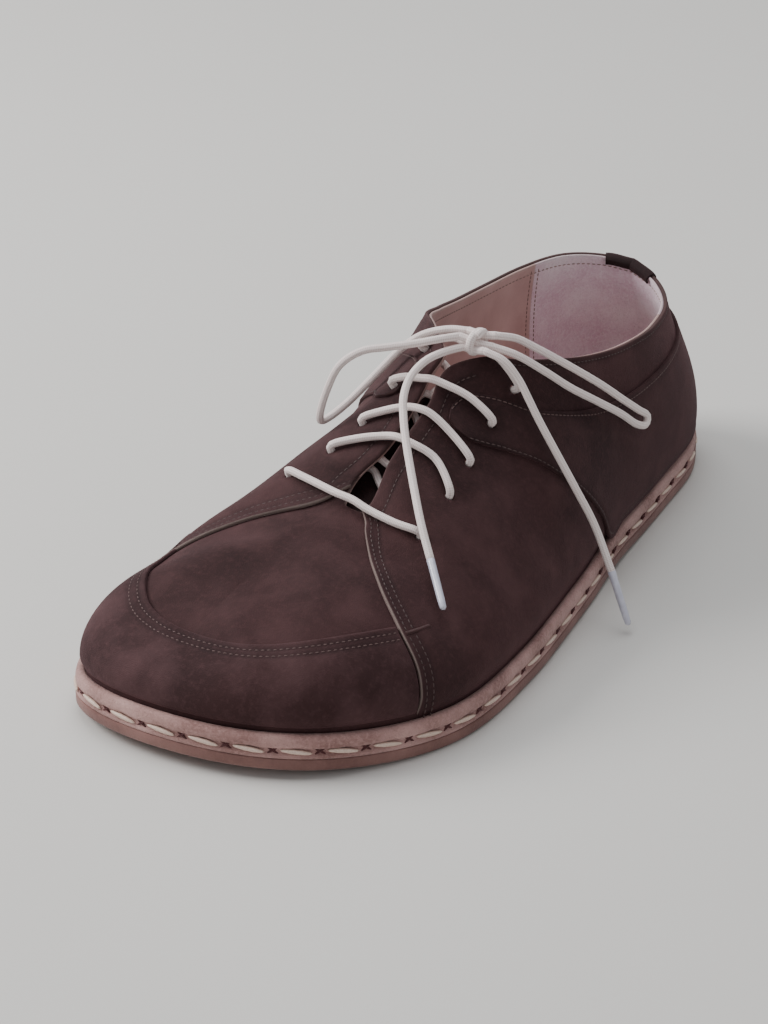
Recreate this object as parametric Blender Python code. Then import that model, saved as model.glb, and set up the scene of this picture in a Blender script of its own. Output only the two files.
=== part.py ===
"""Left barefoot lace-up shoe in nubuck, stitched to a thin flat sole.

Metres, +Z up, toe towards -Y, outer side of the foot towards +X.
The floor is Z = 0 and the shoe stands on it, empty and unbent.
"""
import bmesh
import bpy
import numpy as np
from mathutils import Vector

MM = 0.001

# The last is drawn about its own line; the finished shoe is moved so that its box is centred
CENTRE_SHIFT = (5.25, 0.0, 0.0)

# Sizes of the whole shoe, in millimetres
LENGTH = 283.0
HALF_LENGTH = LENGTH / 2
SOLE_THICK = 4.0
SOLE_EDGE_ROUND = 1.2
GROOVE_AT = 6.6
PART_GAP = 0.3
OVERLAY_GAP = 0.55
RAND_GAP = 0.45
COUNTER_GAP = 0.8
RAND_TOP = 11.8
RAND_GROOVE = 0.7
RAND_ROUND = 0.8
UPPER_INSET = 3.2
SQUARE_TO_EDGE = 12.0
UPPER_SPRINGS_AT = 12.4
VAMP_WALL = 1.8
QUARTER_STEP = 1.5
QUARTER_INSIDE = 0.9
GUARD_THICK = 1.0
COUNTER_THICK = 1.1
OVERLAY_FOOT = 13.0
INSOLE_THICK = 3.0
INSOLE_INSET = 5.6
TONGUE_THICK = 2.0
TONGUE_WING = 22.0
TONGUE_ABOVE = 7.0
LACE_DIA = 2.8
EYELET_DIA = 4.6
CUTTER_DEPTH = 12.0
WELD_WITHIN = 0.02
GUARD_TO_QUARTER = 0.0025
KNOT_SIZE = (8.4, 7.2, 7.4)
AGLET_DIA = 2.9
AGLET_LENGTH = 17.0
AGLET_GAP = 0.55

# The throat ends and the ridge of the vamp begins at this v
THROAT_END = 0.715

# Column marks of the upper: the quarter's front edge, and where the columns begin to bend towards it
EDGE_MARK = 0.70
BEND_MARK = 0.42

# Outline of the sole in plan, seen as x for rising heel-to-toe parameter v.
# y = HALF_LENGTH * cos(pi * v), so v = 0 is the back of the heel and v = 1 the tip of the toe.
OUTLINE = (
    ("v", "inner_x", "outer_x"),
    (0.00, -4.0, -4.0),
    (0.05, -15.0, 8.0),
    (0.10, -24.0, 18.0),
    (0.20, -33.0, 30.0),
    (0.30, -36.0, 35.0),
    (0.40, -40.0, 40.0),
    (0.50, -49.0, 47.5),
    (0.60, -58.0, 53.5),
    (0.70, -64.0, 53.0),
    (0.80, -64.0, 37.5),
    (0.90, -52.0, 13.0),
    (0.95, -39.0, -3.0),
    (1.00, -22.0, -22.0),
)

# Rise of everything above the floor at the toe, in the arch and behind the heel
TOE_LIFT = (85.0, 56.5, 4.0)
ARCH_LIFT = (10.0, 66.0, 1.0)
HEEL_LIFT = (120.0, 20.0, 1.2)

# Upper edge of the shoe: collar, top corner of the facing, facing edge, throat, then the ridge of the vamp.
TOP_OUTER = (
    ("v", "x", "y", "z"),
    (0.00, -2.0, 125.5, 67.5),
    (0.08, 8.5, 121.5, 65.0),
    (0.16, 18.0, 110.0, 64.0),
    (0.25, 24.5, 92.0, 65.0),
    (0.33, 27.5, 72.0, 67.0),
    (0.40, 26.5, 48.0, 70.5),
    (0.45, 23.0, 29.0, 75.0),
    (0.49, 16.5, 11.0, 80.0),
    (0.52, 9.0, 1.0, 83.0),
    (0.54, 3.5, -5.5, 82.0),
    (0.60, 1.5, -20.0, 72.0),
    (0.66, 0.0, -39.0, 61.0),
    (0.70, 0.0, -56.0, 51.0),
    (0.715, -5.5, -57.0, 52.3),
)
TOP_INNER = (
    ("v", "x", "y", "z"),
    (0.00, -2.0, 125.5, 67.5),
    (0.08, -12.5, 121.5, 69.5),
    (0.16, -21.0, 110.5, 71.6),
    (0.25, -26.5, 92.0, 72.4),
    (0.33, -29.0, 71.0, 73.0),
    (0.40, -28.5, 50.0, 75.5),
    (0.45, -25.5, 34.0, 79.5),
    (0.49, -21.5, 21.0, 83.0),
    (0.515, -13.0, 9.5, 86.0),
    (0.54, -1.5, -3.5, 84.5),
    (0.57, -2.2, -10.5, 78.5),
    (0.60, -2.6, -18.5, 72.0),
    (0.66, -3.8, -35.5, 62.0),
    (0.70, -8.0, -49.5, 54.3),
    (0.715, -5.5, -57.0, 52.3),
)
RIDGE = (
    ("v", "x", "y", "z"),
    (0.715, -5.5, -57.0, 52.3),
    (0.735, -7.8, -62.2, 51.0),
    (0.78, -11.0, -72.0, 48.5),
    (0.84, -13.5, -82.0, 45.5),
    (0.90, -15.5, -90.5, 43.0),
    (0.96, -17.0, -96.0, 41.2),
    (1.00, -17.5, -98.0, 40.5),
)

# Shape of the section from the sole joint to the top edge: slope of the last part above the
# horizontal, lean of the first part outwards, and how far each of the two holds on.
SECTION = (
    ("v", "inner_slope", "outer_slope", "foot_lean", "foot_hold", "inner_hold", "outer_hold"),
    (0.00, 78.0, 78.0, 4.0, 0.42, 0.35, 0.35),
    (0.10, 78.0, 78.0, 4.0, 0.42, 0.35, 0.35),
    (0.25, 77.0, 77.0, 5.0, 0.40, 0.35, 0.35),
    (0.40, 74.0, 74.0, 6.0, 0.35, 0.35, 0.35),
    (0.49, 62.0, 62.0, 8.0, 0.32, 0.35, 0.35),
    (0.52, 50.0, 56.0, 9.0, 0.32, 0.28, 0.35),
    (0.54, 34.0, 52.0, 10.0, 0.32, 0.26, 0.35),
    (0.57, 24.0, 46.0, 11.0, 0.32, 0.30, 0.35),
    (0.60, 12.0, 40.0, 12.0, 0.32, 0.38, 0.35),
    (0.63, 5.0, 34.0, 13.0, 0.36, 0.40, 0.37),
    (0.66, 3.0, 28.0, 14.0, 0.41, 0.42, 0.40),
    (0.70, 5.0, 20.0, 15.0, 0.46, 0.50, 0.43),
    (0.76, 8.0, 8.0, 15.0, 0.56, 0.50, 0.50),
    (0.80, 5.0, 5.0, 15.0, 0.60, 0.53, 0.53),
    (0.90, 12.0, 12.0, 12.0, 0.60, 0.52, 0.52),
    (1.00, 16.0, 16.0, 10.0, 0.60, 0.50, 0.50),
)

# Front edge of the quarters as v for rising u, u running up the section
QUARTER_EDGE = (
    ("u", "inner_v", "outer_v"),
    (0.00, 0.735, 0.747),
    (0.25, 0.727, 0.743),
    (0.47, 0.720, 0.745),
    (0.67, 0.717, 0.739),
    (0.82, 0.716, 0.723),
    (0.93, 0.711, 0.707),
    (1.00, 0.700, 0.700),
)

# Upper edge of the toe guard as u for rising v
GUARD_EDGE = (
    ("v", "inner_u", "outer_u"),
    (0.70, 0.42, 0.45),
    (0.74, 0.46, 0.46),
    (0.80, 0.515, 0.487),
    (0.86, 0.562, 0.520),
    (0.93, 0.600, 0.562),
    (1.00, 0.610, 0.610),
)

# Lower and upper edge of the heel counter with its forward wing, as u for rising v
COUNTER = (
    ("v", "low_u", "high_u"),
    (0.000, 0.02, 0.77),
    (0.100, 0.02, 0.775),
    (0.200, 0.02, 0.765),
    (0.300, 0.02, 0.74),
    (0.400, 0.02, 0.72),
    (0.430, 0.02, 0.73),
    (0.450, 0.21, 0.74),
    (0.478, 0.41, 0.760),
    (0.508, 0.54, 0.790),
    (0.538, 0.65, 0.870),
    (0.562, 0.73, 0.895),
    (0.576, 0.79, 0.900),
    (0.584, 0.85, 0.890),
)

# Tab over the back of the collar: half width in v, how far down it reaches in u, thickness and rise
TAB_HALF_V = 0.07
TAB_LOW_U = 0.86
TAB_INSIDE_U = 0.93
TAB_THICK = 1.3
TAB_OVER = 1.2

# Lace holes from the throat up to the collar
EYELETS = (
    ("outer_v", "outer_u", "inner_v", "inner_u"),
    (0.674, 0.740, 0.667, 0.693),
    (0.629, 0.728, 0.648, 0.780),
    (0.588, 0.736, 0.614, 0.822),
    (0.540, 0.760, 0.572, 0.850),
    (0.506, 0.864, 0.531, 0.914),
)

# Depth of the tongue under the skin where it runs in below the vamp
TONGUE_ROOT = (
    ("v", "depth"),
    (0.748, 3.4),
    (0.732, 3.9),
    (0.715, 5.8),
    (0.695, 7.8),
)

# Where the lace bar of each hole crosses the facing edges, and how far its outer part arcs to the heel
BARS = (
    ("outer_v", "inner_v", "arc"),
    (0.700, 0.716, 0.000),
    (0.640, 0.648, 0.009),
    (0.605, 0.610, 0.002),
    (0.570, 0.578, 0.004),
    (0.548, 0.552, 0.000),
)

# Heights of the lace above and below the skin, and how far it bows up over the throat
BAR_HEIGHT = 3.95
OVER_WING = 2.0
WING_HOLE = 4
HOLE_LEAD = 2.2
HIDDEN_HEIGHT = -3.0
LOW_HIDDEN_HEIGHT = -6.1
TONGUE_DEPTH = 8.7
CROWN = 2.6

# Order in which the lace passes the holes, from the top outer hole to the top inner hole:
# hole number, side, height of the run to the next hole, and its rise over the middle of the throat.
LACE_RUN = (
    ("hole", "side", "height", "bow"),
    (5, 1, HIDDEN_HEIGHT, -1.4),
    (3, -1, BAR_HEIGHT, 0.6),
    (3, 1, HIDDEN_HEIGHT, -1.2),
    (1, -1, BAR_HEIGHT, 0.6),
    (1, 1, LOW_HIDDEN_HEIGHT, 0.0),
    (2, -1, BAR_HEIGHT, 0.6),
    (2, 1, LOW_HIDDEN_HEIGHT, 0.0),
    (4, -1, BAR_HEIGHT, 0.6),
    (4, 1, LOW_HIDDEN_HEIGHT, 0.0),
    (5, -1, BAR_HEIGHT, 0.0),
)

# Knot and the free parts of the lace, each along its own route
KNOT_CENTRE = (8.0, 0.7, 88.8)
OUTER_LOOP = (
    (12.8, 4.0, 90.2),
    (16.8, 9.6, 88.0),
    (20.8, 13.6, 84.6),
    (25.3, 19.6, 79.4),
    (30.5, 28.5, 71.8),
    (33.8, 36.8, 64.9),
    (36.5, 45.7, 57.2),
    (38.2, 54.4, 50.2),
    (39.6, 58.2, 46.8),
    (40.0, 56.4, 44.6),
    (39.4, 51.6, 46.4),
    (37.6, 42.9, 53.4),
    (34.6, 30.8, 62.2),
    (30.4, 20.6, 70.0),
    (25.6, 12.0, 78.0),
    (19.4, 5.2, 84.6),
    (13.0, 1.4, 87.4),
)
INNER_LOOP = (
    (3.2, 3.4, 89.9),
    (-3.0, 1.8, 89.6),
    (-10.7, -1.0, 87.1),
    (-16.8, -4.0, 82.2),
    (-21.1, -8.0, 76.5),
    (-24.8, -12.7, 71.1),
    (-28.4, -17.9, 66.0),
    (-31.4, -23.6, 62.6),
    (-32.6, -27.4, 62.2),
    (-32.0, -29.2, 65.4),
    (-30.0, -27.6, 74.4),
    (-26.9, -25.2, 82.1),
    (-21.4, -21.2, 86.6),
    (-14.5, -16.8, 87.9),
    (-7.6, -12.4, 89.0),
    (-1.2, -7.5, 90.2),
    (3.0, -2.4, 90.2),
)
FRONT_END = (
    (5.0, -2.8, 87.2),
    (1.1, -8.0, 86.6),
    (-2.1, -14.4, 85.2),
    (-3.1, -21.9, 82.4),
    (-1.6, -28.6, 78.6),
    (1.7, -34.1, 74.2),
    (5.5, -39.1, 69.9),
    (15.6, -50.8, 60.2),
    (22.8, -58.6, 53.4),
    (29.6, -64.6, 46.2),
)
FRONT_AGLET_END = (42.4, -77.4, 36.2)
SIDE_END = (
    (12.2, -2.4, 87.2),
    (18.2, -0.9, 84.8),
    (22.8, 0.5, 79.1),
    (26.6, 0.6, 73.0),
    (30.3, 0.6, 66.8),
    (43.2, 2.0, 45.6),
    (49.0, 4.6, 33.0),
    (56.2, 3.6, 18.6),
)
SIDE_AGLET_END = (64.4, 0.4, 3.4)


CURVES = {}
HOLE_CUTTERS = {}


def read(table, x, column):
    """Smooth value of a named table column at x, passing through every row."""
    key = (id(table), column)
    if key not in CURVES:
        place = table[0].index(column)
        xs = np.array([row[0] for row in table[1:]])
        ys = np.array([row[place] for row in table[1:]])
        CURVES[key] = (xs, ys, np.gradient(ys, xs))
    xs, ys, slopes = CURVES[key]
    x = min(max(x, xs[0]), xs[-1])
    i = int(min(np.searchsorted(xs, x, side="right") - 1, len(xs) - 2))
    step = xs[i + 1] - xs[i]
    t = (x - xs[i]) / step
    low = (2 * t**3 - 3 * t**2 + 1) * ys[i] + (t**3 - 2 * t**2 + t) * step * slopes[i]
    high = (3 * t**2 - 2 * t**3) * ys[i + 1] + (t**3 - t**2) * step * slopes[i + 1]
    return float(low + high)


def lift(y):
    """Height of the underside above the floor for a place along the shoe."""
    start, run, rise = TOE_LIFT
    if -y > start:
        return rise * ((-y - start) / run) ** 1.8
    start, run, rise = HEEL_LIFT
    if y > start:
        return rise * ((y - start) / run) ** 2
    start, end, rise = ARCH_LIFT
    if start < y < end:
        return rise * np.sin(np.pi * (y - start) / (end - start)) ** 2
    return 0.0


def outline_point(w):
    """Point of the sole outline; w runs from -1 (heel, inner side) over 0 (toe) to 1 (heel, outer side)."""
    v = 1 - abs(w)
    x = read(OUTLINE, v, "outer_x" if w >= 0 else "inner_x")
    return np.array([x, HALF_LENGTH * np.cos(np.pi * v), 0.0])


def wrap(w):
    """Bring w back into the range from -1 to 1."""
    return (w + 1) % 2 - 1


def outline_normal(w):
    """Outward direction of the outline in plan."""
    step = 0.006
    along = outline_point(wrap(w + step)) - outline_point(wrap(w - step))
    out = np.array([along[1], -along[0], 0.0])
    return out / np.linalg.norm(out)


def inset_point(w, inset):
    """Outline point moved inwards, at the height of the underside."""
    flat = outline_point(w)
    point = flat - inset * outline_normal(w)
    point[2] = lift(flat[1])
    return point


def top_point(w):
    """Point of the collar, facing, throat or ridge line."""
    v = 1 - abs(w)
    table = RIDGE
    if v < THROAT_END:
        table = TOP_OUTER if w >= 0 else TOP_INNER
    return np.array([read(table, v, column) for column in ("x", "y", "z")])


def skin(w, u):
    """Outer face of the vamp and base face of the quarters; u runs up the section."""
    v = 1 - abs(w)
    foot = inset_point(w, UPPER_INSET)
    foot[2] += UPPER_SPRINGS_AT
    top = top_point(w)
    out = outline_normal(w)
    reach = top - foot
    rise = reach[2]
    reach[2] = 0.0
    inward = reach - SQUARE_TO_EDGE * out
    inward /= np.linalg.norm(inward)
    side = "outer" if w >= 0 else "inner"
    slope = np.radians(read(SECTION, v, side + "_slope"))
    lean = np.radians(read(SECTION, v, "foot_lean"))
    foot_hold = read(SECTION, v, "foot_hold")
    top_hold = read(SECTION, v, side + "_hold")
    size = np.hypot(np.linalg.norm(reach), rise)
    start = out * np.sin(lean)
    start[2] = np.cos(lean)
    end = inward * np.cos(slope)
    end[2] = np.sin(slope)
    width = np.linalg.norm(reach) * np.cos(slope) + rise * np.sin(slope)
    first = foot + start * foot_hold * rise
    second = top - end * top_hold * min(width, size)
    return (1 - u)**3 * foot + 3 * (1 - u)**2 * u * first + 3 * (1 - u) * u**2 * second + u**3 * top


def skin_normal(w, u):
    """Outward direction of the skin."""
    step = 0.004
    high = min(u + step, 1.0)
    low = max(u - step, 0.0)
    along = skin(wrap(w + step), u) - skin(wrap(w - step), u)
    up = skin(w, high) - skin(w, low)
    normal = np.cross(up, along)
    return -normal / np.linalg.norm(normal)


def over_skin(w, u, height):
    """Point at a height above the skin."""
    return skin(w, u) + height * skin_normal(w, u)


def quarter_v(u, side):
    """Place of the quarter's front edge in v; side is 1 on the outer side and -1 on the inner side."""
    return read(QUARTER_EDGE, u, "outer_v" if side > 0 else "inner_v")


def in_metres(point):
    """Place in the finished shoe, in metres."""
    return Vector((np.asarray(point) + CENTRE_SHIFT) * MM)


def new_collection(name):
    """Collection linked to the scene."""
    collection = bpy.data.collections.new(name)
    bpy.context.scene.collection.children.link(collection)
    return collection


def make_material(name, colour, roughness, metallic=0.0):
    """Principled material with a plain colour."""
    material = bpy.data.materials.new(name)
    material.use_nodes = True
    shader = material.node_tree.nodes["Principled BSDF"]
    shader.inputs["Base Color"].default_value = (*colour, 1.0)
    shader.inputs["Roughness"].default_value = roughness
    shader.inputs["Metallic"].default_value = metallic
    material.diffuse_color = (*colour, 1.0)
    return material


def add_object(name, mesh, material, smooth=True):
    """Named object in the shoe's collection."""
    thing = bpy.data.objects.new(name, mesh)
    SHOE.objects.link(thing)
    mesh.materials.clear()
    mesh.materials.append(material)
    if smooth:
        mesh.polygons.foreach_set("use_smooth", [True] * len(mesh.polygons))
    return thing


def mesh_from(name, points, faces, weld=False):
    """Mesh from points in millimetres, welded and with faces turned outwards."""
    mesh = bpy.data.meshes.new(name)
    mesh.from_pydata([tuple(in_metres(p)) for p in points], [], faces)
    work = bmesh.new()
    work.from_mesh(mesh)
    if weld:
        bmesh.ops.remove_doubles(work, verts=work.verts, dist=WELD_WITHIN * MM)
    bmesh.ops.recalc_face_normals(work, faces=work.faces)
    work.to_mesh(mesh)
    work.free()
    return mesh


def ring_loft(rings, closed_section):
    """Faces of a loft whose rings run right round; the section is closed or its two ends are left."""
    count = len(rings[0])
    points = [p for ring in rings for p in ring]
    faces = []
    last = len(rings) if closed_section else len(rings) - 1
    for r in range(last):
        a = r * count
        b = ((r + 1) % len(rings)) * count
        for i in range(count):
            j = (i + 1) % count
            faces.append((a + i, a + j, b + j, b + i))
    return points, faces


def outline_rings(stations, levels):
    """Rings that follow the outline, one for each pair of inset and height above the underside."""
    up = np.array([0.0, 0.0, 1.0])
    return [[inset_point(w, inset) + height * up for w in stations] for inset, height in levels]


def cap_faces(count, ring):
    """Faces across a ring of the outline, each joining the same place on both sides of the foot."""
    base = ring * count
    faces = [(base, base + 1, base + count - 1)]
    for i in range(2, count // 2):
        faces.append((base + i, base + i - 1, base + count - i + 1, base + count - i))
    return faces + [(base + count // 2 - 1, base + count // 2, base + count // 2 + 1)]


def sheet_solid(name, grid_outer, grid_inner, round_trip, material):
    """Solid between two grids of the same shape; round_trip joins the last column to the first."""
    rows = len(grid_outer)
    columns = len(grid_outer[0])
    points = [p for row in grid_outer for p in row] + [p for row in grid_inner for p in row]
    half = rows * columns
    faces = []
    last = columns if round_trip else columns - 1
    for r in range(rows - 1):
        for c in range(last):
            d = (c + 1) % columns
            quad = (r * columns + c, r * columns + d, (r + 1) * columns + d, (r + 1) * columns + c)
            faces.append(quad)
            faces.append(tuple(half + q for q in reversed(quad)))
    for c in range(last):
        d = (c + 1) % columns
        for r in (0, rows - 1):
            faces.append((r * columns + c, half + r * columns + c, half + r * columns + d, r * columns + d))
    if not round_trip:
        for r in range(rows - 1):
            for c in (0, columns - 1):
                a = r * columns + c
                b = (r + 1) * columns + c
                faces.append((a, b, half + b, half + a))
    return add_object(name, mesh_from(name, points, faces, weld=True), material)


def build_outsole():
    """Slab with the outline of the last and a rounded lower edge."""
    stations = np.linspace(-1, 1, 73)[:-1]
    levels = ((SOLE_EDGE_ROUND, 0.0), (0.35, 0.35), (0.0, SOLE_EDGE_ROUND), (0.0, SOLE_THICK))
    points, faces = ring_loft(outline_rings(stations, levels), False)
    faces += cap_faces(len(stations), 0) + cap_faces(len(stations), len(levels) - 1)
    add_object("outsole", mesh_from("outsole", points, faces), RUBBER)


def build_rand():
    """Leather strip round the foot of the upper, with a groove for the edge stitches."""
    stations = np.linspace(-1, 1, 73)[:-1]
    bottom = SOLE_THICK + PART_GAP
    inner = UPPER_INSET - RAND_GAP
    levels = (
        (0.0, bottom),
        (0.0, GROOVE_AT - 1.6),
        (RAND_GROOVE, GROOVE_AT - 0.6),
        (RAND_GROOVE, GROOVE_AT + 0.6),
        (0.1, GROOVE_AT + 1.6),
        (RAND_ROUND, RAND_TOP),
        (inner, RAND_TOP),
        (inner, bottom),
    )
    points, faces = ring_loft(outline_rings(stations, levels), True)
    add_object("rand", mesh_from("rand", points, faces), RAND_LEATHER)


def column_marks():
    """Column places from heel to toe with the quarter edge as a close pair."""
    back = list(np.linspace(0, 0.40, 10)) + list(np.linspace(0.40, 0.54, 6))[1:]
    facing = list(np.linspace(0.54, EDGE_MARK - 0.002, 7))[1:]
    throat = [EDGE_MARK + 0.002, (EDGE_MARK + THROAT_END) / 2, THROAT_END]
    front = list(np.linspace(THROAT_END, 1.0, 10))[1:]
    return back + facing + throat + front


def warped_v(mark, u, side):
    """Place in v of a column mark at height u, bent so that EDGE_MARK is the quarter edge."""
    seam = quarter_v(u, side)
    if mark <= BEND_MARK:
        return mark
    if mark <= EDGE_MARK:
        return BEND_MARK + (mark - BEND_MARK) * (seam - BEND_MARK) / (EDGE_MARK - BEND_MARK)
    return seam + (mark - EDGE_MARK) * (1 - seam) / (1 - EDGE_MARK)


def build_upper():
    """Hollow upper in one wall: vamp in front, thicker quarters behind the stepped edge."""
    marks = column_marks()
    sides = [(mark, 1) for mark in marks] + [(mark, -1) for mark in reversed(marks[1:-1])]
    heights = [0.0, 0.05, 0.11] + list(np.linspace(0.19, 0.90, 8)) + [0.955, 1.0]
    surface = []
    steps = []
    insides = []
    for u in heights:
        row = []
        for mark, side in sides:
            row.append(skin(wrap(side * (1 - warped_v(mark, u, side))), u))
        surface.append(row)
    low = []
    for mark, side in sides:
        w = wrap(side * (1 - warped_v(mark, 0.0, side)))
        point = inset_point(w, UPPER_INSET)
        point[2] += SOLE_THICK + PART_GAP
        low.append(point)
    surface.insert(0, low)
    for mark, side in sides:
        quarter = mark < EDGE_MARK
        steps.append(QUARTER_STEP if quarter else 0.0)
        insides.append(-QUARTER_INSIDE if quarter else -VAMP_WALL)
    columns = len(sides)
    points = [p for row in surface for p in row]
    faces = []
    for r in range(len(surface) - 1):
        for c in range(columns):
            d = (c + 1) % columns
            faces.append((r * columns + c, r * columns + d, (r + 1) * columns + d, (r + 1) * columns + c))
    normals = welded_normals(points, faces)
    rows = len(surface)
    outer = []
    inner = []
    for r in range(rows):
        fade = 0.0 if r < 2 else min(1.0, heights[r - 1] / 0.11)
        foot = r < 2
        outer_row = []
        inner_row = []
        for c in range(columns):
            index = r * columns + c
            normal = normals[index]
            if foot:
                mark, side = sides[c]
                normal = outline_normal(wrap(side * (1 - warped_v(mark, 0.0, side))))
            inside = -VAMP_WALL + (insides[c] + VAMP_WALL) * fade
            outer_row.append(points[index] + normal * steps[c] * fade)
            inner_row.append(points[index] + normal * inside)
        outer.append(outer_row)
        inner.append(inner_row)
    mesh = shell_mesh("upper", outer, inner)
    upper = add_object("upper", mesh, NUBUCK)
    for number, side, w, u in eyelet_places():
        HOLE_CUTTERS[(number, side)] = make_cutter(number, side, w, u)
        cut_hole(upper, f"hole_{side}_{number}", HOLE_CUTTERS[(number, side)])


def welded_normals(points, faces):
    """Normals of an open skin in which points at one place count as one."""
    keys = {}
    index = []
    for p in points:
        key = tuple(np.round(np.asarray(p), 2))
        index.append(keys.setdefault(key, len(keys)))
    sums = np.zeros((len(keys), 3))
    for face in faces:
        a, b, c, d = (np.asarray(points[i]) for i in face)
        normal = np.cross(c - a, d - b)
        for i in face:
            sums[index[i]] += normal
    sums /= np.maximum(np.linalg.norm(sums, axis=1, keepdims=True), 1e-9)
    centre = np.mean(np.asarray(points), axis=0)
    outward = np.sum([np.dot(sums[index[i]], np.asarray(p) - centre) for i, p in enumerate(points)])
    return [sums[i] * np.sign(outward) for i in index]


def shell_mesh(name, outer, inner):
    """Closed wall between two skins that share their open edges."""
    rows = len(outer)
    columns = len(outer[0])
    points = []
    faces = []
    for grid in (outer, inner):
        points += [p for row in grid for p in row]
    half = rows * columns
    for r in range(rows - 1):
        for c in range(columns):
            d = (c + 1) % columns
            quad = (r * columns + c, r * columns + d, (r + 1) * columns + d, (r + 1) * columns + c)
            faces.append(quad)
            faces.append(tuple(half + q for q in reversed(quad)))
    for c in range(columns):
        d = (c + 1) % columns
        faces.append((c, half + c, half + d, d))
        a = (rows - 1) * columns + c
        b = (rows - 1) * columns + d
        ridge = np.linalg.norm(points[a] - points[(rows - 1) * columns + (columns - c) % columns]) < 0.05
        ridge_next = np.linalg.norm(points[b] - points[(rows - 1) * columns + (columns - d) % columns]) < 0.05
        if not (ridge and ridge_next) or c in (columns - 1, 0):
            faces.append((a, half + a, half + b, b))
    return mesh_from(name, points, faces, weld=True)


def eyelet_places():
    """Number, side name, w and u of every lace hole, from the throat upwards."""
    places = []
    for number, (outer_v, outer_u, inner_v, inner_u) in enumerate(EYELETS[1:], 1):
        places.append((number, "outer", 1 - outer_v, outer_u))
        places.append((number, "inner", inner_v - 1, inner_u))
    return places


def make_cutter(number, side, w, u):
    """Round cutter square to the skin at a lace hole."""
    bpy.ops.mesh.primitive_cylinder_add(vertices=12, radius=EYELET_DIA / 2 * MM, depth=CUTTER_DEPTH * MM)
    cutter = bpy.context.active_object
    cutter.name = f"hole_cutter_{side}_{number}"
    for collection in list(cutter.users_collection):
        collection.objects.unlink(cutter)
    CUTTERS.objects.link(cutter)
    cutter.location = in_metres(skin(w, u))
    cutter.rotation_mode = "QUATERNION"
    cutter.rotation_quaternion = Vector(skin_normal(w, u)).to_track_quat("Z", "Y")
    cutter.hide_render = True
    cutter.display_type = "WIRE"
    return cutter


def cut_hole(thing, label, cutter):
    """Take a cutter out of a solid."""
    cut = thing.modifiers.new(label, "BOOLEAN")
    cut.operation = "DIFFERENCE"
    cut.solver = "EXACT"
    cut.object = cutter


def foot_u(w):
    """Section parameter at which the skin is just above the rand."""
    u = 0.0
    floor = lift(outline_point(w)[1])
    while skin(w, u)[2] - floor < OVERLAY_FOOT:
        u += 0.002
    return u


def build_overlay(name, columns, thick, base, rows, material):
    """Panel lying on the skin: columns of (w, low u, high u)."""
    outer = []
    inner = []
    for r in range(rows + 1):
        t = r / rows
        outer_row = []
        inner_row = []
        for place in columns:
            w, u = place(t)
            outer_row.append(over_skin(w, u, base + thick))
            inner_row.append(over_skin(w, u, base))
        outer.append(outer_row)
        inner.append(inner_row)
    return sheet_solid(name, outer, inner, False, material)


def build_toe_guard():
    """Guard round the toe from one quarter edge to the other."""
    columns = []
    for s in np.linspace(-1, 1, 35):
        columns.append(lambda t, s=s: guard_place(s, t))
    build_overlay("toe_guard", columns, GUARD_THICK, OVERLAY_GAP, 5, NUBUCK_GUARD)


def guard_place(s, t):
    """Place on the guard: s across from inner to outer side, t from the rand up to the seam."""
    side = 1 if s >= 0 else -1
    v = 1 - abs(s) * (1 - quarter_v(0.0, side) - GUARD_TO_QUARTER)
    high = read(GUARD_EDGE, v, "outer_u" if side > 0 else "inner_u")
    for _ in range(3):
        low = foot_u(side * (1 - v))
        u = low + (high - low) * t
        v = 1 - abs(s) * (1 - quarter_v(u, side) - GUARD_TO_QUARTER)
        high = read(GUARD_EDGE, v, "outer_u" if side > 0 else "inner_u")
    return side * (1 - v), u


def build_counter():
    """Counter round the heel with a wing running forward on each side."""
    end = COUNTER[-1][0]
    marks = np.concatenate([np.linspace(0, 0.42, 10), np.linspace(0.435, 0.56, 8), [0.570, 0.578, end]])
    line = [-m for m in reversed(marks[1:])] + list(marks)
    columns = []
    for s in line:
        columns.append(lambda t, s=s: counter_place(s, t))
    base = QUARTER_STEP + COUNTER_GAP
    counter = build_overlay("heel_counter", columns, COUNTER_THICK, base, 5, NUBUCK_COUNTER)
    for side in ("outer", "inner"):
        cut_hole(counter, f"hole_{side}_4", HOLE_CUTTERS[(4, side)])


def counter_place(s, t):
    """Place on the counter: s along from the inner wing over the heel to the outer wing."""
    v = abs(s)
    w = wrap((1 if s >= 0 else -1) * (1 - v))
    low = max(read(COUNTER, v, "low_u"), foot_u(w))
    high = read(COUNTER, v, "high_u")
    return w, low + (high - low) * t


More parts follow.
